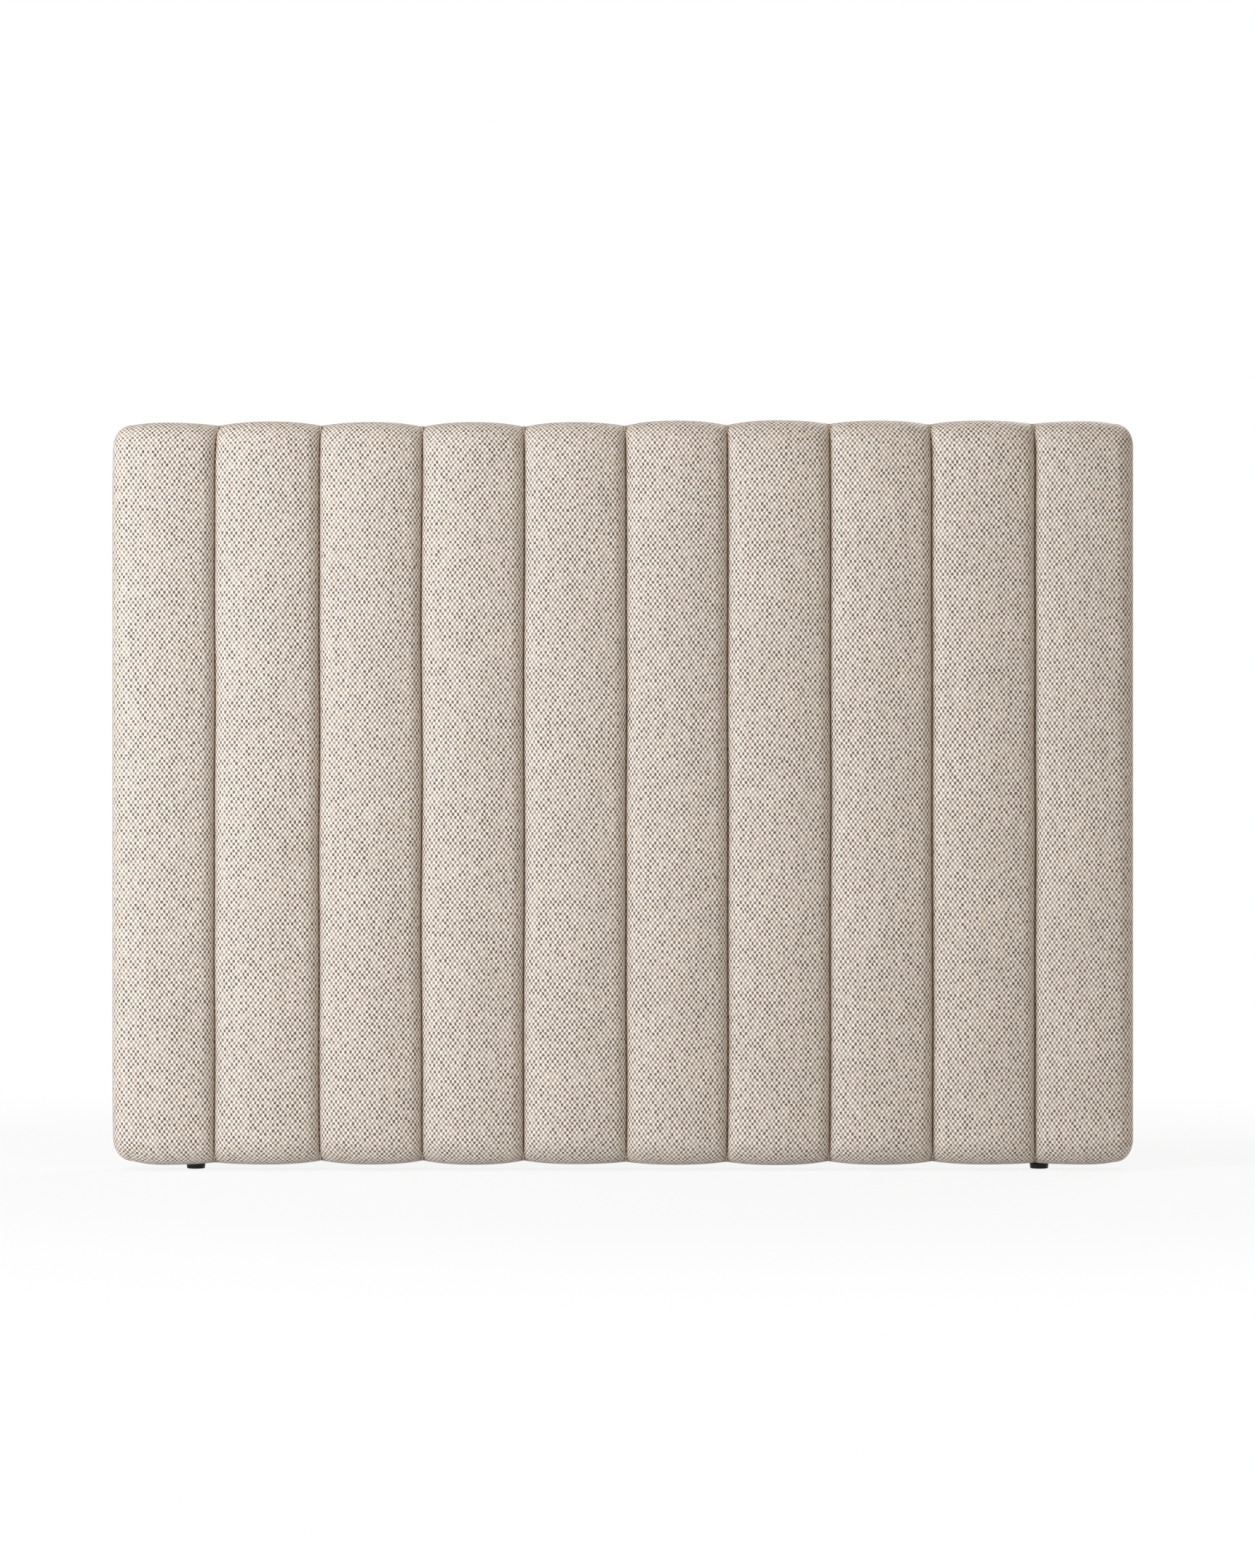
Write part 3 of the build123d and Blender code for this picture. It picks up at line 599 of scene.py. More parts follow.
def refine(values):
    """Values given at each COARSE-th step of a grid, filled in between along smooth curves."""
    for axis in (0, 1):
        values = np.moveaxis(values, axis, 0)
        last = len(values) - 1
        at = np.arange(last * COARSE + 1) / COARSE
        cell = np.minimum(at.astype(int), last - 1)
        t = (at - cell).reshape(-1, 1, 1)
        a, b, c, d = (values[np.clip(cell + step, 0, last)] for step in (-1, 0, 1, 2))
        values = b + 0.5 * t * (c - a + t * (2 * a - 5 * b + 4 * c - d + t * (3 * (b - c) + d - a)))
        values = np.moveaxis(values, 0, axis)
    return values


def swell(surface, seed):
    """Each point's move in a simulation of a panel's cloth, sewn all round and pushed out by uneven foam."""
    coarse = surface[::COARSE, ::COARSE]
    ids = grid_ids(coarse.shape)
    trial = build("cloth_trial", coarse.reshape(-1, 3), [(grid_quads(ids), {}, True)])
    held = trial.vertex_groups.new(name="held")
    firm = FOAM_HOLD + FOAM_UNEVEN * waves(coarse[..., 0], coarse[..., 2], seed, longest=0.2)
    for number, weight in zip(ids.ravel().tolist(), firm.ravel().tolist()):
        held.add([number], weight, "REPLACE")
    sewn = np.concatenate([ids[0], ids[-1], ids[:, 0], ids[:, -1]])
    held.add(sewn.tolist(), 1.0, "REPLACE")
    cloth = trial.modifiers.new("cloth", "CLOTH")
    cloth.point_cache.frame_start = 1
    cloth.point_cache.frame_end = SWELL_FRAMES
    cloth.settings.quality = CLOTH_QUALITY
    cloth.settings.vertex_group_mass = "held"
    cloth.settings.use_pressure = True
    cloth.settings.uniform_pressure_force = FOAM_PRESSURE
    cloth.settings.shrink_min = -CLOTH_EXCESS
    cloth.settings.bending_stiffness = CLOTH_BENDING
    cloth.settings.effector_weights.gravity = 0
    for frame_number in range(1, SWELL_FRAMES + 1):
        bpy.context.scene.frame_set(frame_number)
    settled = trial.evaluated_get(bpy.context.evaluated_depsgraph_get()).data
    places = np.empty(coarse.size, dtype=np.float32)
    settled.vertices.foreach_get("co", places)
    bpy.data.objects.remove(trial, do_unlink=True)
    bpy.context.scene.frame_set(1)
    moves = places.reshape(coarse.shape) - coarse
    for axis in (0, 1):
        along = np.moveaxis(moves, axis, 0)
        along[1:-1] = (along[:-2] + 2 * along[1:-1] + along[2:]) / 4
    length = np.linalg.norm(moves, axis=-1, keepdims=True)
    moves *= SWELL_CAP * np.tanh(length / SWELL_CAP) / np.maximum(length, 1e-9)
    return refine(moves)


def make_channel(channel, points, patches, padded, from_edge, from_seam, bare=0.0, mirrored=False):
    """A channel's cover and foam pad and the points they settle to, from its panel's points and patches.

    On the first patch, from_edge and from_seam count the mesh steps from the edge of the padded part and
    from the nearest seam, and bare is the share of the relief that is lost."""
    front = patches[0]["ids"]
    drift = np.zeros(len(points))
    drift[front] = smooth(from_edge / ROLL_STEPS) * smooth(from_seam / DRIFT_RISE)
    strength = smooth((from_edge - RELIEF_START) / RELIEF_RISE) * (1 - bare)
    lattice = lattice_relief(*np.indices(front.shape))
    relief = np.zeros(len(points))
    relief[front] = RELIEF * lattice * strength * np.minimum(from_seam / SEAM_RISE, 1)
    # How far each point lies from a seam, for the painted crease shade.
    gap = np.full(len(points), CREASE_SHADE_REACH)
    gap[front] = from_seam * STEP_ACROSS

    quads = np.concatenate([grid_quads(patch["ids"]) for patch in patches])
    sign = -1 if mirrored else 1
    points = uneven(points, normals(points, quads) * sign, drift, DRIFT_SEED + channel)
    points[padded] += swell(points[padded], SWELL_SEED + channel)
    points = lean(points)
    out = normals(points, quads) * sign
    cover = cloth_shell(channel, points, out, patches, relief, gap, mirrored)
    return cover, foam_pad(channel, points[padded], out[padded]), points


def cover_middle(channel):
    """The cover and foam of a channel between two seams, and the lines of its top and bottom walls."""
    grid = middle_panel(channel)
    ids = grid_ids(grid.shape)
    i, j = np.indices(ids.shape)
    across, along = i.max(), j.max()
    patch = {
        "ids": ids, "inner": BAKE_INNER, "swap": False,
        "bake": strip_uvs((across, along), 1, FRONT_STRIPS, BAKE_MIDDLE, FRONT_COLUMNS),
        "weave": quad_corners(np.stack([i, j], axis=-1).astype(float)),
        "open": ((np.s_[:, 0], (0, -1)), (np.s_[-1], (1, 0)),
                 (np.s_[::-1, -1], (0, 1)), (np.s_[0, ::-1], (-1, 0))),
    }
    padded = ids[:, BACK_STEPS:along - BACK_STEPS + 1]
    from_edge = np.minimum(j, along - j) - BACK_STEPS
    from_seam = np.minimum(i, across - i)
    cover, pad, points = make_channel(channel, grid.reshape(-1, 3), [patch], padded, from_edge, from_seam)
    walls = ids[:, [BACK_STEPS - WALL_STEPS, along - BACK_STEPS + WALL_STEPS]]
    return cover, pad, points[walls.ravel()][:, [0, 2]]


def cover_end(channel):
    """The cover and foam of an end channel, and its wall's line. The right one is a left one mirrored."""
    right = channel == CHANNELS - 1
    side = -SIDE_RIGHT if right else SIDE_LEFT
    seam = (-SEAM_XS[-1] if right else SEAM_XS[0]) - SEAM_GAP
    nearest = -1 if right else 0
    corner_rise = CORNER_DROP if right else LEFT_FOOT_CORNER_RISE
    ends = {
        "foot": (FOOT_CREST_RISES[channel], FOOT_SEAM_RISES[nearest], corner_rise),
        "top": (TOP_CREST_DROPS[channel], TOP_SEAM_DROPS[nearest], CORNER_DROP),
    }
    cap, weave, roll_width, corners = end_cap(side, seam, ends)
    outline, inner = fold_line(cap, side, roll_width, corners)
    band = end_band(cap, outline, inner)
    ids = grid_ids(cap.shape)
    edge_ids = np.array([ids[i, j] for i, j in outline])
    rest = grid_ids((band.shape[0], band.shape[1] - 1), ids.size)
    band_ids = np.concatenate([edge_ids[:, None], rest], axis=1)
    points = np.concatenate([cap.reshape(-1, 3), band[:, 1:].reshape(-1, 3)])
    if right:
        points[:, 0] *= -1

    i, j = np.indices(ids.shape)
    across, along = i.max(), j.max()
    from_end = np.minimum(j, along - j)
    from_edge = np.minimum(from_end, i * ROLL_STEPS / SIDE_STEPS)
    in_corner = smooth(CORNER_ACROSS - i / SIDE_STEPS * CORNER_ACROSS)
    in_corner = in_corner * smooth(CORNER_UP - from_end / ROLL_STEPS * CORNER_UP)
    bare = smooth(in_corner * CORNER_FADE)

    # Over the top and the bottom the weave runs straight on, and round the side it runs on across.
    k, r = np.indices(band_ids.shape)
    start = np.array([weave[a, b] for a, b in outline])
    up_down = np.stack([start[k, 0], start[k, 1] + np.where(k <= END_STEPS, -r, r)], axis=-1)
    sideways = np.stack([start[k, 0] - r * SIDE_STRETCH, start[k, 1]], axis=-1)
    upright = (k[:-1, :-1] >= END_STEPS) & (k[:-1, :-1] < END_STEPS + along)
    band_weave = np.where(upright.reshape(-1, 1, 1), quad_corners(sideways), quad_corners(up_down))

    band_shape = (band.shape[0] - 1, band.shape[1] - 1)
    patches = [
        {"ids": ids, "inner": BAKE_CAP_INNER, "swap": False, "weave": quad_corners(weave),
         "bake": strip_uvs((across, along), 1, FRONT_STRIPS, BAKE_CAP, FRONT_COLUMNS),
         "open": ((np.s_[-1], (1, 0)),)},
        {"ids": band_ids, "inner": BAKE_BAND_INNER, "swap": True, "weave": band_weave,
         "bake": strip_uvs(band_shape, 0, BAND_STRIPS, BAKE_BAND, BAND_COLUMNS),
         "open": ((np.s_[-1], (0, 1)), (np.s_[::-1, -1], (1, 0)), (np.s_[0, ::-1], (0, -1)))},
    ]
    cover, pad, points = make_channel(channel, points, patches, ids, from_edge, across - i, bare, right)
    return cover, pad, points[band_ids[:, WALL_STEPS]][:, [0, 2]]


# Materials

class Shader:
    """The node tree of a new material or of a given owner, with short calls for the nodes used here."""

    def __init__(self, name, owner=None):
        self.owner = owner or bpy.data.materials.new(name)
        self.owner.use_nodes = True
        self.tree = self.owner.node_tree
        self.surface = self.tree.nodes.get("Principled BSDF")

    def feed(self, value, socket):
        """Links a node's output to a socket, or sets the socket to a number, a vector or a colour."""
        if isinstance(value, bpy.types.NodeSocket):
            self.tree.links.new(value, socket)
        else:
            socket.default_value = (*value, 1) if socket.type == "RGBA" else value

    def node(self, kind, feeds=(), **settings):
        """The outputs of a new node, whose inputs are fed by name or by number."""
        node = self.tree.nodes.new(kind)
        for key, value in settings.items():
            setattr(node, key, value)
        for socket, value in dict(feeds).items():
            self.feed(value, node.inputs[socket])
        return node.outputs

    def math(self, operation, *values):
        return self.node("ShaderNodeMath", enumerate(values), operation=operation)[0]

    def plus(self, a, b):
        return self.math("ADD", a, b)

    def times(self, a, b):
        return self.math("MULTIPLY", a, b)

    def scaled(self, value, gain, start):
        return self.math("MULTIPLY_ADD", value, gain, start)

    def between(self, *values):
        """A smooth step from 0 to 1, or between two further values, as the value goes from low to high."""
        return self.node("ShaderNodeMapRange", enumerate(values), interpolation_type="SMOOTHSTEP")[0]

    def mix(self, share, a, b, blend="MIX"):
        return self.node("ShaderNodeMix", {0: share, 6: a, 7: b}, data_type="RGBA", blend_type=blend)[2]

    def place(self, scale=(1, 1, 1), uv=None):
        """Coordinates in metres times scale, from a UV map or from the frame."""
        if uv:
            source = self.node("ShaderNodeUVMap", uv_map=uv)[0]
        else:
            source = self.node("ShaderNodeTexCoord")["Object"]
        return self.node("ShaderNodeMapping", {"Vector": source, "Scale": scale})[0]

    def axes(self, vector):
        return self.node("ShaderNodeSeparateXYZ", {0: vector})

    def noise(self, vector, scale, detail=3.0, rough=0.55):
        feeds = {"Vector": vector, "Scale": scale, "Detail": detail, "Roughness": rough}
        return self.node("ShaderNodeTexNoise", feeds)[0]

    def chance(self, x, y=0.0):
        """A random number for each whole x and y."""
        joined = self.node("ShaderNodeCombineXYZ", {0: x, 1: y})
        return self.node("ShaderNodeTexWhiteNoise", {"Vector": joined[0]}, noise_dimensions="2D")["Value"]

    def bump(self, height, distance, strength):
        feeds = {"Strength": strength, "Distance": distance, "Height": height}
        self.feed(self.node("ShaderNodeBump", feeds)[0], self.surface.inputs["Normal"])

    def finish(self, color, roughness, metallic=0.0, sheen=0.0, specular=0.5):
        values = {"Base Color": color, "Roughness": roughness, "Metallic": metallic,
                  "Sheen Weight": sheen, "Specular IOR Level": specular}
        for name, value in values.items():
            self.feed(value, self.surface.inputs[name])
        return self.owner


GROUND = (0.55, 0.476, 0.397)
FLOAT = (0.88, 0.857, 0.81)
FLOAT_DULL = (0.79, 0.747, 0.685)
DOT = (0.105, 0.064, 0.037)
DOT_PALE = (0.28, 0.195, 0.125)
# Painted shade: the brown that the cloth beside a seam is multiplied by, standing in for the shade in the
# cleft.
CREASE_SHADE_TINT = (0.92, 0.78, 0.64)


def woven_fabric():
    """Checked basket weave: dark brown oval dots, raised off-white floats and a cream ground between."""
    s = Shader("woven_fabric")
    place = s.place(uv="Weave")
    x, y, _ = s.axes(place)
    u = s.plus(s.math("DIVIDE", x, CELL_WIDE), s.scaled(s.noise(place, 90, detail=2), 1.0, -0.5))
    v = s.plus(s.math("DIVIDE", y, CELL_TALL), s.scaled(s.noise(place, 140, detail=2), 0.8, -0.4))
    wave_u = s.math("COSINE", s.times(u, math.pi))
    wave_v = s.math("COSINE", s.times(v, math.pi))
    lattice = s.times(wave_u, wave_v)

    cell_u = s.math("ROUND", u)
    cell_v = s.math("ROUND", v)
    each = s.chance(cell_u, cell_v)
    row = s.chance(s.plus(cell_v, 300.5))
    patch = s.noise(place, 26, detail=3)
    strength = s.scaled(row, 0.14, s.scaled(each, 0.22, 0.82))
    strength = s.scaled(patch, 0.5, s.plus(strength, -0.25))
    fibre = s.noise(s.place((1, 0.35, 1), uv="Weave"), 2600, detail=3, rough=0.7)
    ragged = s.plus(lattice, s.scaled(fibre, 0.5, -0.25))

    sized = s.scaled(each, 0.24, s.plus(ragged, -0.12))
    is_float = s.between(ragged, -0.12, -0.62)
    is_dot = s.times(s.between(sized, 0.14, 0.6), s.math("MINIMUM", strength, 1.0))
    tone = s.between(each, 0.1, 0.9)
    dull = s.times(s.between(s.chance(s.plus(cell_u, 90.5), cell_v), 0.45, 1.0), 0.8)
    color = s.mix(is_float, GROUND, s.mix(dull, FLOAT, FLOAT_DULL))
    color = s.mix(is_dot, color, s.mix(tone, DOT_PALE, DOT))
    shade = s.scaled(s.noise(place, 9, detail=3), 0.16, 0.92)
    shade = s.times(shade, s.scaled(fibre, 0.24, 0.88))
    gray = s.node("ShaderNodeCombineColor", enumerate((shade, shade, shade)))[0]
    color = s.mix(1.0, color, gray, blend="MULTIPLY")
    # Painted shade: the cloth darkens and browns towards each seam, where the cleft's shade falls. Its
    # roughness also rises there.
    crease_shade = s.node("ShaderNodeAttribute", attribute_name="near_seam")["Fac"]
    color = s.mix(crease_shade, color, CREASE_SHADE_TINT, blend="MULTIPLY")

    height = s.scaled(s.between(lattice, 0.7, -0.7), 0.8, s.times(fibre, 0.25))
    s.bump(height, 0.45 * MM, 0.8)
    return s.finish(color, s.scaled(crease_shade, 0.4, s.scaled(fibre, 0.2, 0.46)))


def timber(name, along):
    """Planed softwood, with its grain along one axis."""
    s = Shader(name)
    place = s.place([0.06 if axis == along else 1.0 for axis in "xyz"])
    bands = s.noise(place, 70, detail=4, rough=0.6)
    rings = s.math("FRACT", s.times(s.noise(place, 22, detail=2), 9.0))
    late = s.times(s.between(rings, 0.35, 0.95), s.between(rings, 1.0, 0.9))
    pores = s.noise(place, 900, detail=2)
    color = s.mix(bands, (0.60, 0.42, 0.235), (0.76, 0.58, 0.37))
    color = s.mix(s.times(late, 0.5), color, (0.46, 0.275, 0.125))
    color = s.mix(s.between(pores, 0.62, 0.75, 0.0, 0.35), color, (0.34, 0.21, 0.11))
    s.bump(s.scaled(late, 0.4, s.times(pores, 0.5)), 0.3 * MM, 0.5)
    return s.finish(color, s.scaled(bands, 0.2, 0.5), specular=0.3)


def plywood():
    """Thin plywood, with its plies on the cut edges and rotary-cut figure on its faces."""
    ply = 2.5 * MM
    s = Shader("plywood")
    figure = s.noise(s.place((1.0, 1.0, 0.16)), 16, detail=5, rough=0.62)
    lines = s.math("FRACT", s.times(figure, 14.0))
    line = s.times(s.between(lines, 0.5, 0.95), s.between(lines, 1.0, 0.93))
    color = s.mix(figure, (0.56, 0.39, 0.23), (0.74, 0.56, 0.37))
    color = s.mix(s.times(line, 0.4), color, (0.43, 0.27, 0.14))
    plies = s.math("FRACT", s.math("DIVIDE", s.axes(s.place())[1], ply))
    edge = s.mix(s.between(plies, 0.4, 0.55), (0.66, 0.49, 0.31), (0.34, 0.21, 0.115))
    facing = s.axes(s.node("ShaderNodeNewGeometry")["True Normal"])[1]
    color = s.mix(s.between(s.math("ABSOLUTE", facing), 0.7, 0.4), color, edge)
    s.bump(s.noise(s.place(), 700, detail=3), 0.25 * MM, 0.4)
    return s.finish(color, 0.6, specular=0.3)


def plated(name, color, stain, roughness):
    """Plated steel with a cloudy finish and fine drawing marks."""
    s = Shader(name)
    cloud = s.noise(s.place(), 160, detail=4)
    marks = s.noise(s.place((1, 1, 12)), 900, detail=2)
    tint = s.mix(s.between(cloud, 0.35, 0.7), color, stain)
    s.bump(marks, 0.08 * MM, 0.5)
    return s.finish(tint, s.scaled(cloud, 0.25, roughness), metallic=1.0)


def foot_plastic():
    """Black moulded plastic with a fine spark-eroded texture, scuffed a little where it rests."""
    s = Shader("foot_plastic")
    grain = s.noise(s.place(), 2600, detail=2)
    worn = s.between(s.noise(s.place((1, 1, 2.5)), 260, detail=5, rough=0.7), 0.58, 0.72)
    color = s.mix(s.times(worn, 0.4), (0.004, 0.004, 0.0045), (0.022, 0.021, 0.021))
    s.bump(grain, 0.12 * MM, 0.6)
    return s.finish(color, s.scaled(worn, 0.2, 0.42), specular=0.25)


def spunbond():
    """Dark grey spunbond dust cloth: laid fibres with a lattice of small bonding points."""
    pitch = 1.6 * MM
    s = Shader("spunbond")
    place = s.place()
    x, _, z = s.axes(place)
    u, v = (s.math("COSINE", s.times(axis, 2 * math.pi / pitch)) for axis in (x, z))
    point = s.between(s.times(u, v), 0.35, 0.8)
    fibres = s.noise(s.place((1, 1, 0.25)), 1900, detail=4, rough=0.75)
    clouds = s.noise(place, 35, detail=4)
    color = s.mix(fibres, (0.012, 0.012, 0.014), (0.05, 0.05, 0.054))
    color = s.mix(s.times(clouds, 0.4), color, (0.036, 0.036, 0.04))
    color = s.mix(s.times(point, 0.5), color, (0.01, 0.01, 0.011))
    s.bump(s.math("SUBTRACT", fibres, point), 0.3 * MM, 0.7)
    return s.finish(color, s.scaled(point, -0.3, 0.85), sheen=0.1, specular=0.3)


def foam():
    """Cream upholstery foam with its open cells."""
    s = Shader("upholstery_foam")
    place = s.place()
    pores = s.node("ShaderNodeTexVoronoi", {"Vector": place, "Scale": 900})["Distance"]
    cuts = s.noise(s.place((1, 1, 0.2)), 120, detail=3)
    color = s.mix(s.between(pores, 0.1, 0.55), (0.62, 0.53, 0.33), (0.87, 0.80, 0.59))
    color = s.mix(s.times(cuts, 0.3), color, (0.79, 0.69, 0.43))
    s.bump(pores, 0.6 * MM, 0.8)
    return s.finish(color, 0.95, specular=0.2)


def wadding():
    """White polyester fibre wadding."""
    s = Shader("fibre_wadding")
    fibres = s.noise(s.place((0.3, 1, 1)), 1400, detail=5, rough=0.8)
    tufts = s.noise(s.place(), 60, detail=4)
    color = s.mix(tufts, (0.74, 0.74, 0.72), (0.90, 0.90, 0.885))
    s.bump(s.scaled(tufts, 2.0, fibres), 1.0 * MM, 0.8)
    return s.finish(color, 0.97, sheen=0.2, specular=0.2)


def calico():
    """Unbleached calico tape in a fine plain weave."""
    pitch = 0.55 * MM
    s = Shader("calico_tape")
    x, y, z = s.axes(s.place())
    u, v = (s.math("SINE", s.times(axis, 2 * math.pi / pitch)) for axis in (s.plus(x, y), z))
    thread = s.times(u, v)
    slubs = s.noise(s.place((4, 4, 1)), 300, detail=3)
    color = s.mix(s.between(thread, -0.6, 0.6), (0.54, 0.47, 0.36), (0.74, 0.68, 0.57))
    color = s.mix(s.between(slubs, 0.6, 0.7, 0.0, 0.3), color, (0.40, 0.31, 0.20))
    s.bump(thread, 0.15 * MM, 0.8)
    return s.finish(color, 0.92, sheen=0.1, specular=0.2)


# Inner soft pieces

def closed_block(name, one, two):
    """A closed piece between two grids of points of the same shape, its faces turned outwards."""
    near = grid_ids(one.shape)
    far = near + near.size
    quads = [grid_quads(near), grid_quads(far)[:, ::-1]]
    for cut in (np.s_[::-1, 0], np.s_[:, -1], np.s_[0, :], np.s_[-1, ::-1]):
        a, b = near[cut], far[cut]
        quads.append(np.stack([a[:-1], a[1:], b[1:], b[:-1]], axis=-1))
    quads = np.concatenate(quads)
    points = np.concatenate([one.reshape(-1, 3), two.reshape(-1, 3)])
    corners = points[quads] - points.mean(axis=0)
    volume = np.cross(corners[:, 2] - corners[:, 0], corners[:, 3] - corners[:, 1])
    if (volume * corners.mean(axis=1)).sum() < 0:
        quads = quads[:, ::-1]
    return build(name, points, [(quads, {}, True)])


def foam_pad(channel, surface, out):
    """One channel's foam, a cover's thickness and a little more inside the cover over it."""
    _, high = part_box(f"channel_pad_{channel + 1:02d}")
    grid = (surface - out * FOAM_INSET)[::COARSE, ::COARSE]
    flat = grid.copy()
    flat[..., 1] = high.y
    return closed_block(f"foam_channel_{channel + 1:02d}", grid, flat)


def edge_wadding(name, walls, seed):
    """The wadding on one edge of the frame, as thick as the room that the cover's wall leaves it."""
    wall_reach = 40 * MM
    step = 8 * MM
    least_room = 1 * MM
    rows = 9
    rim_share, middle_share, rim_rise = 0.7, 0.3, 6
    lump_share = 0.1
    low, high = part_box(name)
    along, across = (0, 2) if high.x - low.x > high.z - low.z else (2, 0)
    sign = 1 if low[across] + high[across] > (COVER_TOP if across == 2 else 0) else -1
    seat, outer = (low[across], high[across]) if sign > 0 else (high[across], low[across])
    line = walls[np.abs(walls[:, across // 2] - outer) < wall_reach]
    line = line[np.argsort(line[:, along // 2])]
    at = np.linspace(low[along], high[along], round((high[along] - low[along]) / step))
    room = sign * (np.interp(at, line[:, along // 2], line[:, across // 2]) - seat) - FOAM_INSET
    at, room = at[room > least_room], room[room > least_room]
    p, q = np.meshgrid(at, np.linspace(0, 1, rows), indexing="ij")
    rim = smooth(np.minimum(q, 1 - q) * rim_rise)
    lumps = 1 - lump_share * (1 + waves(p, q * (high.y - low.y), seed, longest=0.1)) / 2
    sheets = []
    for depth in (room[:, None] * (rim_share + middle_share * rim) * lumps, 0 * p):
        sheet = np.zeros((*p.shape, 3))
        sheet[..., along] = p
        sheet[..., across] = seat + sign * depth
        sheet[..., 1] = low.y + (high.y - low.y) * q
        sheets.append(sheet)
    return closed_block(name.replace("wadding", "edge_wadding"), *sheets)


def pull_tape(number):
    """A seam's pull tape, stapled flat to the board and turned out into the cleft, and its flat size."""
    thick = 1.6 * MM
    bend = 3 * MM
    short = 1 * MM
    ripple_depth = 0.125 * MM
    rows, bend_points, stem_points = 160, 6, 5
    low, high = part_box(f"pull_strip_{number:02d}")
    stem_x = low.x + thick / 2
    foot_y = high.y - thick / 2
    line = [(high.x, foot_y), (stem_x + bend, foot_y)]
    for angle in np.linspace(0, math.pi / 2, bend_points)[1:]:
        line.append((stem_x + bend * (1 - math.sin(angle)), foot_y - bend * (1 - math.cos(angle))))
    for y in np.linspace(foot_y - bend, low.y + short, stem_points)[1:]:
        line.append((stem_x, y))
    line = np.array(line)
    steps = np.gradient(line, axis=0)
    side = np.stack([-steps[:, 1], steps[:, 0]], axis=-1)
    side /= np.linalg.norm(side, axis=1)[:, None]
    ring = np.concatenate([line + side * thick / 2, (line - side * thick / 2)[::-1]])
    z = np.linspace(low.z + short, high.z - short, rows + 1)
    ripple = ripple_depth * waves(0 * z, z, TAPE_SEED + number, longest=0.06)
    points = np.zeros((len(ring), rows + 1, 3))
    points[..., 0] = ring[:, None, 0]
    points[..., 1] = ring[:, None, 1] - np.abs(ripple)
    points[..., 2] = z
    ids = grid_ids(points.shape)
    ids = np.concatenate([ids, ids[:1]])
    quads = [grid_quads(ids)]
    half = len(line)
    for row in (0, rows):
        a, b = ids[:half, row], ids[half:2 * half, row][::-1]
        cap = np.stack([a[:-1], a[1:], b[1:], b[:-1]], axis=-1)
        quads.append(cap[:, ::-1] if row == 0 else cap)
    points = lean(points.reshape(-1, 3))
    piece = build(f"seam_tape_{number:02d}", points, [(np.concatenate(quads), {}, True)])
    return piece, (high.x - low.x + high.y - low.y, high.z - low.z)


def dust_cloth():
    """The thin cloth over the open back, stapled round its edge and slack between, with four bolt holes."""
    bolts = [(x, z) for x in (-0.5, 0.5) for z in (0.2, 0.4)]
    hole_radius, hole_sides = 11 * MM, 40
    cutter_depth = 50 * MM
    thick = 0.5 * MM
    inset = 0.2 * MM
    staple_pitch = 80 * MM
    stile_pitch, stile_shift = 0.5, 0.03
    slack, slack_start, slack_rise = 1.6 * MM, 12 * MM, 60 * MM
    even_share, wavy_share, held_share = 0.55, 0.45, 0.2
    pucker, pucker_start, pucker_reach = 0.5 * MM, 7 * MM, 45 * MM
    across, along = 196, 140
    low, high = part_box("back_cloth")
    p, q = np.meshgrid(np.linspace(0, 1, across + 1), np.linspace(0, 1, along + 1), indexing="ij")
    x = low.x + (high.x - low.x) * p
    z = low.z + (high.z - low.z) * q
    from_side = np.minimum(x - low.x, high.x - x)
    from_end = np.minimum(z - low.z, high.z - z)
    from_edge = np.minimum(from_side, from_end)
    inside = smooth((from_edge - slack_start) / slack_rise)
    span = np.abs(np.sin(math.pi * (x - stile_shift * np.sign(x)) / stile_pitch))
    sag = slack * inside * (even_share + wavy_share * waves(x, z, DUST_CLOTH_SEED, longest=0.5))
    sag *= np.clip(span, held_share, 1)
    fade = smooth(1 - from_edge / pucker_reach) * smooth(from_edge / pucker_start)
    edge_place = np.where(from_side < from_end, z, x)
    ripple = pucker * fade * (0.5 - 0.5 * np.cos(2 * math.pi * edge_place / staple_pitch))
    y = high.y - thick - sag + ripple - inset
    piece = closed_block("dust_cloth", *(np.stack([x, y + deeper, z], axis=-1) for deeper in (0.0, thick)))
    for hole_x, hole_z in bolts:
        bpy.ops.mesh.primitive_cylinder_add(vertices=hole_sides, radius=hole_radius, depth=cutter_depth,
                                            location=(hole_x, high.y, hole_z), rotation=(math.pi / 2, 0, 0))
        cutter = bpy.context.active_object
        cut = piece.modifiers.new("hole", "BOOLEAN")
        cut.operation = "DIFFERENCE"
        cut.object = cutter
        bpy.context.view_layer.objects.active = piece
        bpy.ops.object.modifier_apply(modifier="hole")
        bpy.data.objects.remove(cutter, do_unlink=True)
    for face in piece.data.polygons:
        face.use_smooth = abs(face.normal.y) > 0.5
    return piece, (high.x - low.x, high.z - low.z)


# The pieces, each put in place of the CAD piece it stands for

def wear(piece, material):
    piece.data.materials.clear()
    piece.data.materials.append(material)


def put(piece, material, stands_for):
    """Puts a finished piece in the place of a CAD piece, on the headboard's own body."""
    wear(piece, material)
    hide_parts(stands_for)
    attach(piece, "root")


fabric = woven_fabric()
foam_material = foam()
wadding_material = wadding()
tape_material = calico()

wall_lines = []
for channel, panel_name in enumerate(PANEL_NAMES):
    at_end = channel in (0, CHANNELS - 1)
    cover, pad, walls = cover_end(channel) if at_end else cover_middle(channel)
    wall_lines.append(walls)
    put(pad, foam_material, f"channel_pad_{channel + 1:02d}")
    put(cover, fabric, panel_name)

for number in range(1, CHANNELS):
    tape, tape_flat = pull_tape(number)
    put(tape, tape_material, f"pull_strip_{number:02d}")

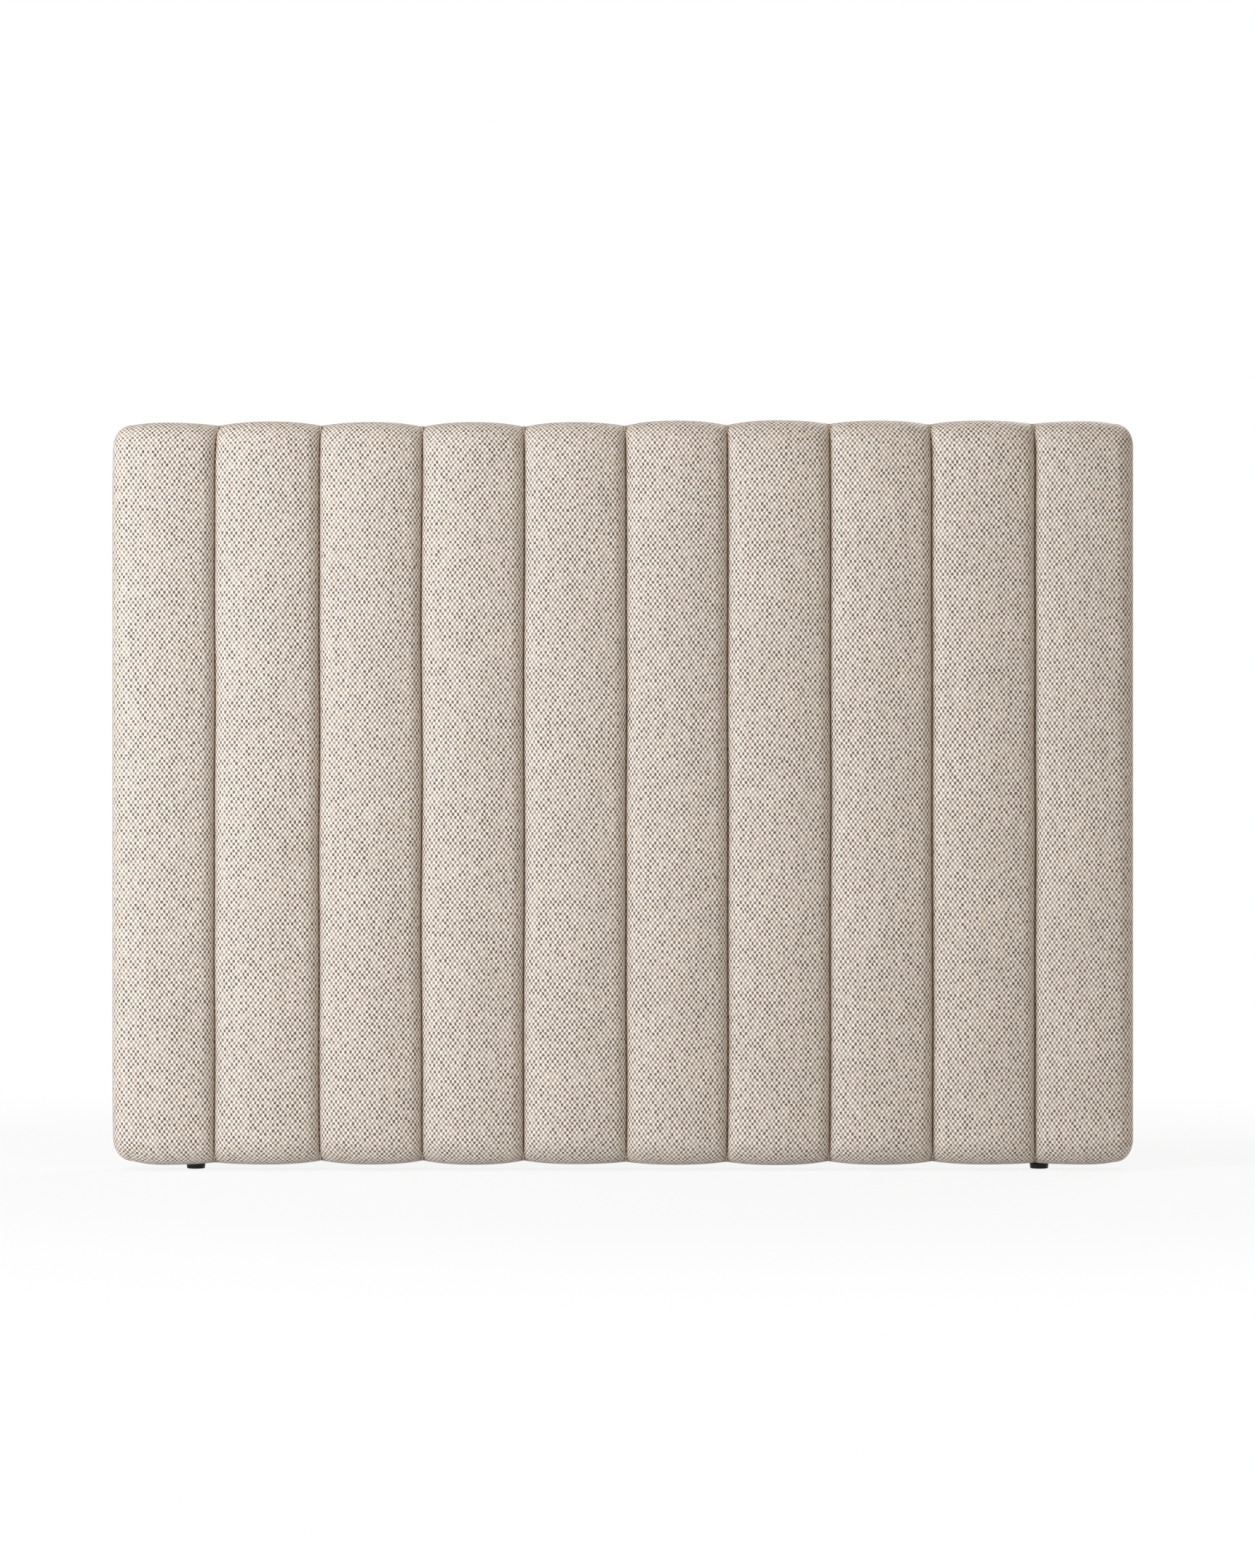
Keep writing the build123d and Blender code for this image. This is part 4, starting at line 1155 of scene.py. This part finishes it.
edge_names = ("top_wadding", "bottom_wadding", "left_wadding", "right_wadding")
for seed, name in enumerate(edge_names, WADDING_SEED):
    strip = edge_wadding(name, np.concatenate(wall_lines), seed)
    put(strip, wadding_material, name)

back, back_flat = dust_cloth()
put(back, spunbond(), "back_cloth")

# Finishes of the pieces that keep their CAD shape, each by a part of their names
board = plywood()
zinc = plated("zinc_plate", (0.66, 0.67, 0.69), (0.54, 0.56, 0.60), 0.22)
FINISHES = {
    "_rail": timber("timber_grain_across", "x"),
    "stile": timber("timber_grain_upright", "z"),
    "front_board": board,
    "corner_block": board,
    "screws": plated("passivated_steel", (0.62, 0.50, 0.24), (0.52, 0.50, 0.36), 0.28),
    "staples": plated("galvanised_wire", (0.60, 0.61, 0.62), (0.46, 0.47, 0.48), 0.3),
    "foot_pad": foot_plastic(),
    "foot_stem": zinc,
    "tee_nut": zinc,
    "inserts": zinc,
}
for name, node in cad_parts.items():
    for part, material in FINISHES.items():
        if part in name:
            wear(node, material)


# Floor, light and camera

WHITE = (1.0, 1.0, 1.0)
WORLD_FILL = 0.51
FILL_COLOR = (1.0, 0.91, 0.82)
FLOOR_SIZE = 60.0
SHADOW_NEAR = 1.0
SHADOW_FAR = 2.6
SHADOW_WHITE = 0.86
LAMP_TARGET = Vector((0.0, 0.0, 0.6))
LAMP_SIZE = 1.6
COOL = (0.95, 0.995, 1.09)
PHOTO_WIDE, PHOTO_TALL = 1725, 2156
VIEW_TALL = 2.459
VIEW_CENTRE = (0.0077, 0.6056)
VIEW_DISTANCE = 9.0
VIEW_PLANE_Y = -0.015
SENSOR = 36.0


def pale_floor():
    """A pale floor that shows white to the camera and in reflections, and keeps some of the shadow."""
    s = Shader("pale_floor")
    color = s.mix(s.noise(s.place(), 6, detail=3), (0.80, 0.80, 0.80), (0.83, 0.83, 0.83))
    material = s.finish(color, 0.9, specular=0.2)
    rays = s.node("ShaderNodeLightPath")
    seen = s.math("MAXIMUM", rays["Is Camera Ray"], rays["Is Glossy Ray"])
    seen = s.math("MAXIMUM", seen, rays["Is Transmission Ray"])
    distance = s.node("ShaderNodeVectorMath", {0: s.place()}, operation="LENGTH")["Value"]
    share = s.times(seen, s.between(distance, SHADOW_NEAR, SHADOW_FAR, SHADOW_WHITE, 1.0))
    glow = s.node("ShaderNodeEmission", {"Color": WHITE, "Strength": 1.0})[0]
    blend = s.node("ShaderNodeMixShader", enumerate((share, s.surface.outputs[0], glow)))[0]
    s.feed(blend, s.tree.nodes["Material Output"].inputs["Surface"])
    return material


def studio():
    """A world that fills with warm light and shows plain white to the camera."""
    world = bpy.data.worlds.new("studio")
    bpy.context.scene.world = world
    s = Shader("studio", world)
    fill = s.tree.nodes["Background"]
    s.feed(FILL_COLOR, fill.inputs["Color"])
    s.feed(WORLD_FILL, fill.inputs["Strength"])
    white = s.node("ShaderNodeBackground", {"Color": WHITE, "Strength": 1.0})[0]
    rays = s.node("ShaderNodeLightPath")
    seen = s.math("MAXIMUM", rays["Is Camera Ray"], rays["Is Transmission Ray"])
    choice = s.node("ShaderNodeMixShader", enumerate((seen, fill.outputs[0], white)))[0]
    s.feed(choice, s.tree.nodes["World Output"].inputs["Surface"])


def softbox(name, place, power):
    light = bpy.data.lights.new(name, "AREA")
    light.shape = "RECTANGLE"
    light.size = LAMP_SIZE
    light.size_y = LAMP_SIZE
    light.energy = power
    light.color = COOL
    lamp = add(name, light)
    lamp.location = place
    lamp.rotation_mode = "QUATERNION"
    lamp.rotation_quaternion = (LAMP_TARGET - Vector(place)).to_track_quat("-Z", "Y")


half = FLOOR_SIZE / 2
floor_mesh = bpy.data.meshes.new("floor")
floor_corners = [(-half, -half, 0), (half, -half, 0), (half, half, 0), (-half, half, 0)]
floor_mesh.from_pydata(floor_corners, [], [(0, 1, 2, 3)])
floor = add("floor", floor_mesh)
wear(floor, pale_floor())

studio()
softbox("left_key", (-3.34, -3.01, 0.84), 107)
softbox("high_key", (-2.15, -1.94, 4.05), 58)
softbox("front", (1.16, -4.34, 0.84), 12)
softbox("rear_fill", (1.72, 2.99, 3.49), 52)

camera_data = bpy.data.cameras.new("camera")
camera_data.sensor_fit = "VERTICAL"
camera_data.sensor_height = SENSOR
camera_data.sensor_width = SENSOR * PHOTO_WIDE / PHOTO_TALL
camera_data.lens = SENSOR * VIEW_DISTANCE / VIEW_TALL
camera_data.clip_end = 100.0
camera = add("camera", camera_data)
camera.location = (VIEW_CENTRE[0], VIEW_PLANE_Y - VIEW_DISTANCE, VIEW_CENTRE[1])
camera.rotation_euler = (math.pi / 2, 0, 0)
bpy.context.scene.camera = camera
bpy.context.scene.view_settings.view_transform = "Standard"
